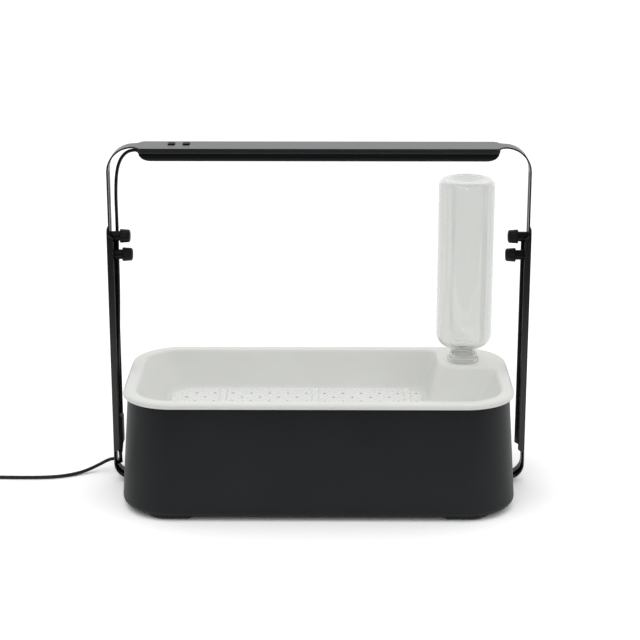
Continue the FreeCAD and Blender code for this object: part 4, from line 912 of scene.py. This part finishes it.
def fluted(radius, height, angle):
    # the flutes are round scallops that fade out before the clamping face
    if radius < 6 or height > knob["length"] - knob["stop"]:
        return radius
    step = 2 * math.pi / knob["flutes"]
    off = (angle + step / 2) % step - step / 2
    centre = knob["radius"] + knob["fluteOut"]
    across = centre * math.sin(off)
    if abs(across) >= knob["fluteR"]:
        return radius
    return min(radius, centre * math.cos(off) - math.sqrt(knob["fluteR"] ** 2 - across ** 2))


for side, sideName in ((-1, "left"), (1, "right")):
    for z, face, levelName in ((knob["upperZ"], knob["upperFace"], "upper"),
                               (knob["lowerZ"], knob["lowerFace"], "lower")):
        tag = f"{levelName}_{sideName}"

        def turned(a, b, h, side=side, z=z, face=face):
            return side * (face + h), knob["y"] + a, z + b

        r, long = knob["radius"], knob["length"]
        thin = r - knob["taper"]
        profile = [(1.2, 0.9), (4.6, 0.8), (5.2, 0.3), (5.8, 0.0), (thin - 1.9, 0.0),
                   (thin - 1.2, 0.25), (thin - 0.35, 1.0), (thin - 0.05, 1.9), (thin + 0.1, 3),
                   (r - 0.15, long - 3), (r, long - knob["stop"] - 0.3), (r, long - knob["stop"] + 0.1),
                   (r, long - 0.5), (r - 0.5, long), (3.2, long)]
        bm = bmesh.new()
        capped(bm, turnedRows(profile, 112, turned, fluted))
        body = f"knob_{tag}_body"
        piece(f"knob{levelName.title()}{sideName.title()}", bm, knobPlastic, body,
              (f"knob_{tag}",), angle=38)
        inner, outer = long, knob["armInner"] - face
        profile = [(3.2, inner + 0.02), (5.7, inner + 0.02), (6.3, inner + 0.5), (6.3, outer - 2.2),
                   (5.7, outer - 2.0), (5.7, outer - 1.7), (6.3, outer - 1.5), (6.3, outer - 0.4),
                   (5.9, outer), (3.2, outer), (3.1, inner + 0.4)]
        bm = bmesh.new()
        rows = turnedRows(profile, 48, turned)
        skin(bm, rows + rows[:1])
        piece(f"collar{levelName.title()}{sideName.title()}", bm, collarMetal, body,
              (f"knob_collar_{tag}",), angle=38)
print("knobs turned")

# inverted bottle: one turned wall, mouth down, punt in its base on top
bottle = dict(x=189, y=60, seat=153, ringHigh=10.8, steps=96)
outside = outline([(14.5, -20), (16.8, -20, 0.8), (16.8, -0.3, 0.5), (20.6, 0, 1.6), (20.6, 6.4, 1.8),
                   (17.6, 6.8, 0.5), (19.2, 8.6, 1.2), (16.5, 10.6, 1.6), (16.5, 20, 1.6),
                   (36, 20, 17.5), (36, 244, 9), (24, 244, 6), (1.0, 235.2)], 10, closed=False)
inside = outline([(1.0, 233.0), (23.5, 241.6, 6), (34, 241.6, 7), (34, 22, 15.5), (14.5, 22, 2.4),
                  (14.5, -20)], 10, closed=False)
bm = bmesh.new()
outerRows, innerRows = (turnedRows(profile, bottle["steps"], lambda a, b, h: (
    bottle["x"] + a, bottle["y"] + b, bottle["seat"] + h)) for profile in (outside, inside))
fill(bm, skin(bm, outerRows)[1])
fill(bm, skin(bm, innerRows)[0])
for face in bm.faces:
    middle = face.calc_center_median()
    reach = math.hypot(middle.x - bottle["x"], middle.y - bottle["y"])
    # the finish ring's faces take the paler glass: painted light over the dim cup below
    face.material_index = int(reach > 16 and -0.5 < middle.z - bottle["seat"] < bottle["ringHigh"])
piece("bottleWall", bm, [bottleGlass, paledRingGlass], "bottle_body", ("bottle",), angle=60)
print("bottle blown")


# strain reliefs: tapered sleeves with shallow rings
def relief(name, start, heading, length, wide, tip, body, replaced, rings=4):
    axis = Vector(heading).normalized()
    side = axis.orthogonal().normalized()
    other = axis.cross(side)
    profile = [(tip / 2 - 0.9, 0), (wide / 2 - 0.3, 0), (wide / 2, 0.3), (wide / 2, length * 0.12)]
    for k in range(rings):
        at = length * (0.2 + 0.7 * k / rings)
        r = wide / 2 + (tip / 2 - wide / 2) * (at / length)
        gap = 0.7 * length / rings
        profile += [(r - dip, at + share * gap) for dip, share in (
            (0, 0), (0.45, 0.12), (0.5, 0.35), (0.1, 0.5))]
    profile += [(tip / 2, length * 0.95), (tip / 2 - 0.25, length), (tip / 2 - 0.7, length)]
    bm = bmesh.new()
    capped(bm, turnedRows(profile, 40, lambda a, b, h: tuple(
        Vector(start) + side * a + other * b + axis * h)))
    return piece(name, bm, reliefRubber, body, (replaced,), angle=40)


relief("reliefUpper", (-261, 24, 91), (0, 0, 1), 10, 8, 5.6, "root", "relief_upper", 3)
relief("reliefLower", (-261, 24, 47), (0, 0, -1), 10, 8, 5.6, "root", "relief_lower", 3)
relief("lampGland", (-223, 34.5, 437.5), (-1, 0, 0), 7, 7.5, 5.4, "arch", "lamp_gland", 2)
adapter = dict(relief=16, halfX=17.05, halfY=26, corner=5, high=27, seam=13.5, edge=2.5)
a = adapter
plugRelief = relief("adapterRelief", (cordEnd[0], cordEnd[1] - a["relief"], cordEnd[2]), (0, 1, 0),
                    a["relief"], 8, 5.6, "root", "adapter_relief", 5)

# in-line controller: tray and cover with a parting line between them
box = dict(back=-266, split=-261, y1=13, y2=35, low=47, high=91)
bm = bmesh.new()
sheetSolid(bm, [block(box["y1"], box["y2"], box["low"], box["high"], 1.5)], box["back"] + 0.02,
           box["split"] - 0.1, 0.35, lambda y, z, x: (x, y, z))
rows = []
for inset, x in ((0.3, -261.1), (0.0, -260.7), (0.0, -260.2), (3.4, -256.7), (3.9, -256.2),
                 (4.6, -256.0)):
    narrow = inset * 0.3
    rows.append([(x, y, z) for y, z in outline(block(
        box["y1"] + narrow, box["y2"] - narrow, box["low"] + inset, box["high"] - inset, 1.6), 6)])
capped(bm, rows)
piece("controllerBox", bm, boxPlastic, "root",
      ("controller_base", "controller_cover"))

# adapter case at the far end of the cord; its pins are the carried-over node
bm = bmesh.new()
near = cordEnd[1] - a["relief"]
case = block(cordEnd[0] - a["halfX"], cordEnd[0] + a["halfX"], near - 2 * a["halfY"], near, a["corner"])
rows = [around(case, 8, a["edge"] * up, -a["edge"] * out) for out, up in quarter(5)]
rows += [around(case, 8, a["seam"] - 0.4), around(case, 8, a["seam"] - 0.15, -0.4),
         around(case, 8, a["seam"] + 0.15, -0.4), around(case, 8, a["seam"] + 0.4)]
rows += [around(case, 8, a["high"] - a["edge"] * out, -a["edge"] * up)
         for out, up in quarter(5)]
capped(bm, rows)
adapterPiece = piece("adapterCase", bm, boxPlastic, "root", ("adapter_body",))
print("small parts made")

# carried-over nodes keep their shape and get a finish
for node, material in {
        "frame_screws": screwMetal, "led_board": whiteMask, "led_chips": phosphor,
        "lamp_diffuser": frosted, "switch_board": boardLaminate, "valve_cap": capPlastic,
        "cap_seal": sealRubber, "controller_board": boardLaminate, "adapter_pins": pinMetal,
        **{f"knob_screw_{high}_{side}": screwMetal
           for high in ("upper", "lower") for side in ("left", "right")}}.items():
    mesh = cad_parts[node].data
    mesh.materials.clear()
    mesh.materials.append(material)
print("carried nodes finished")
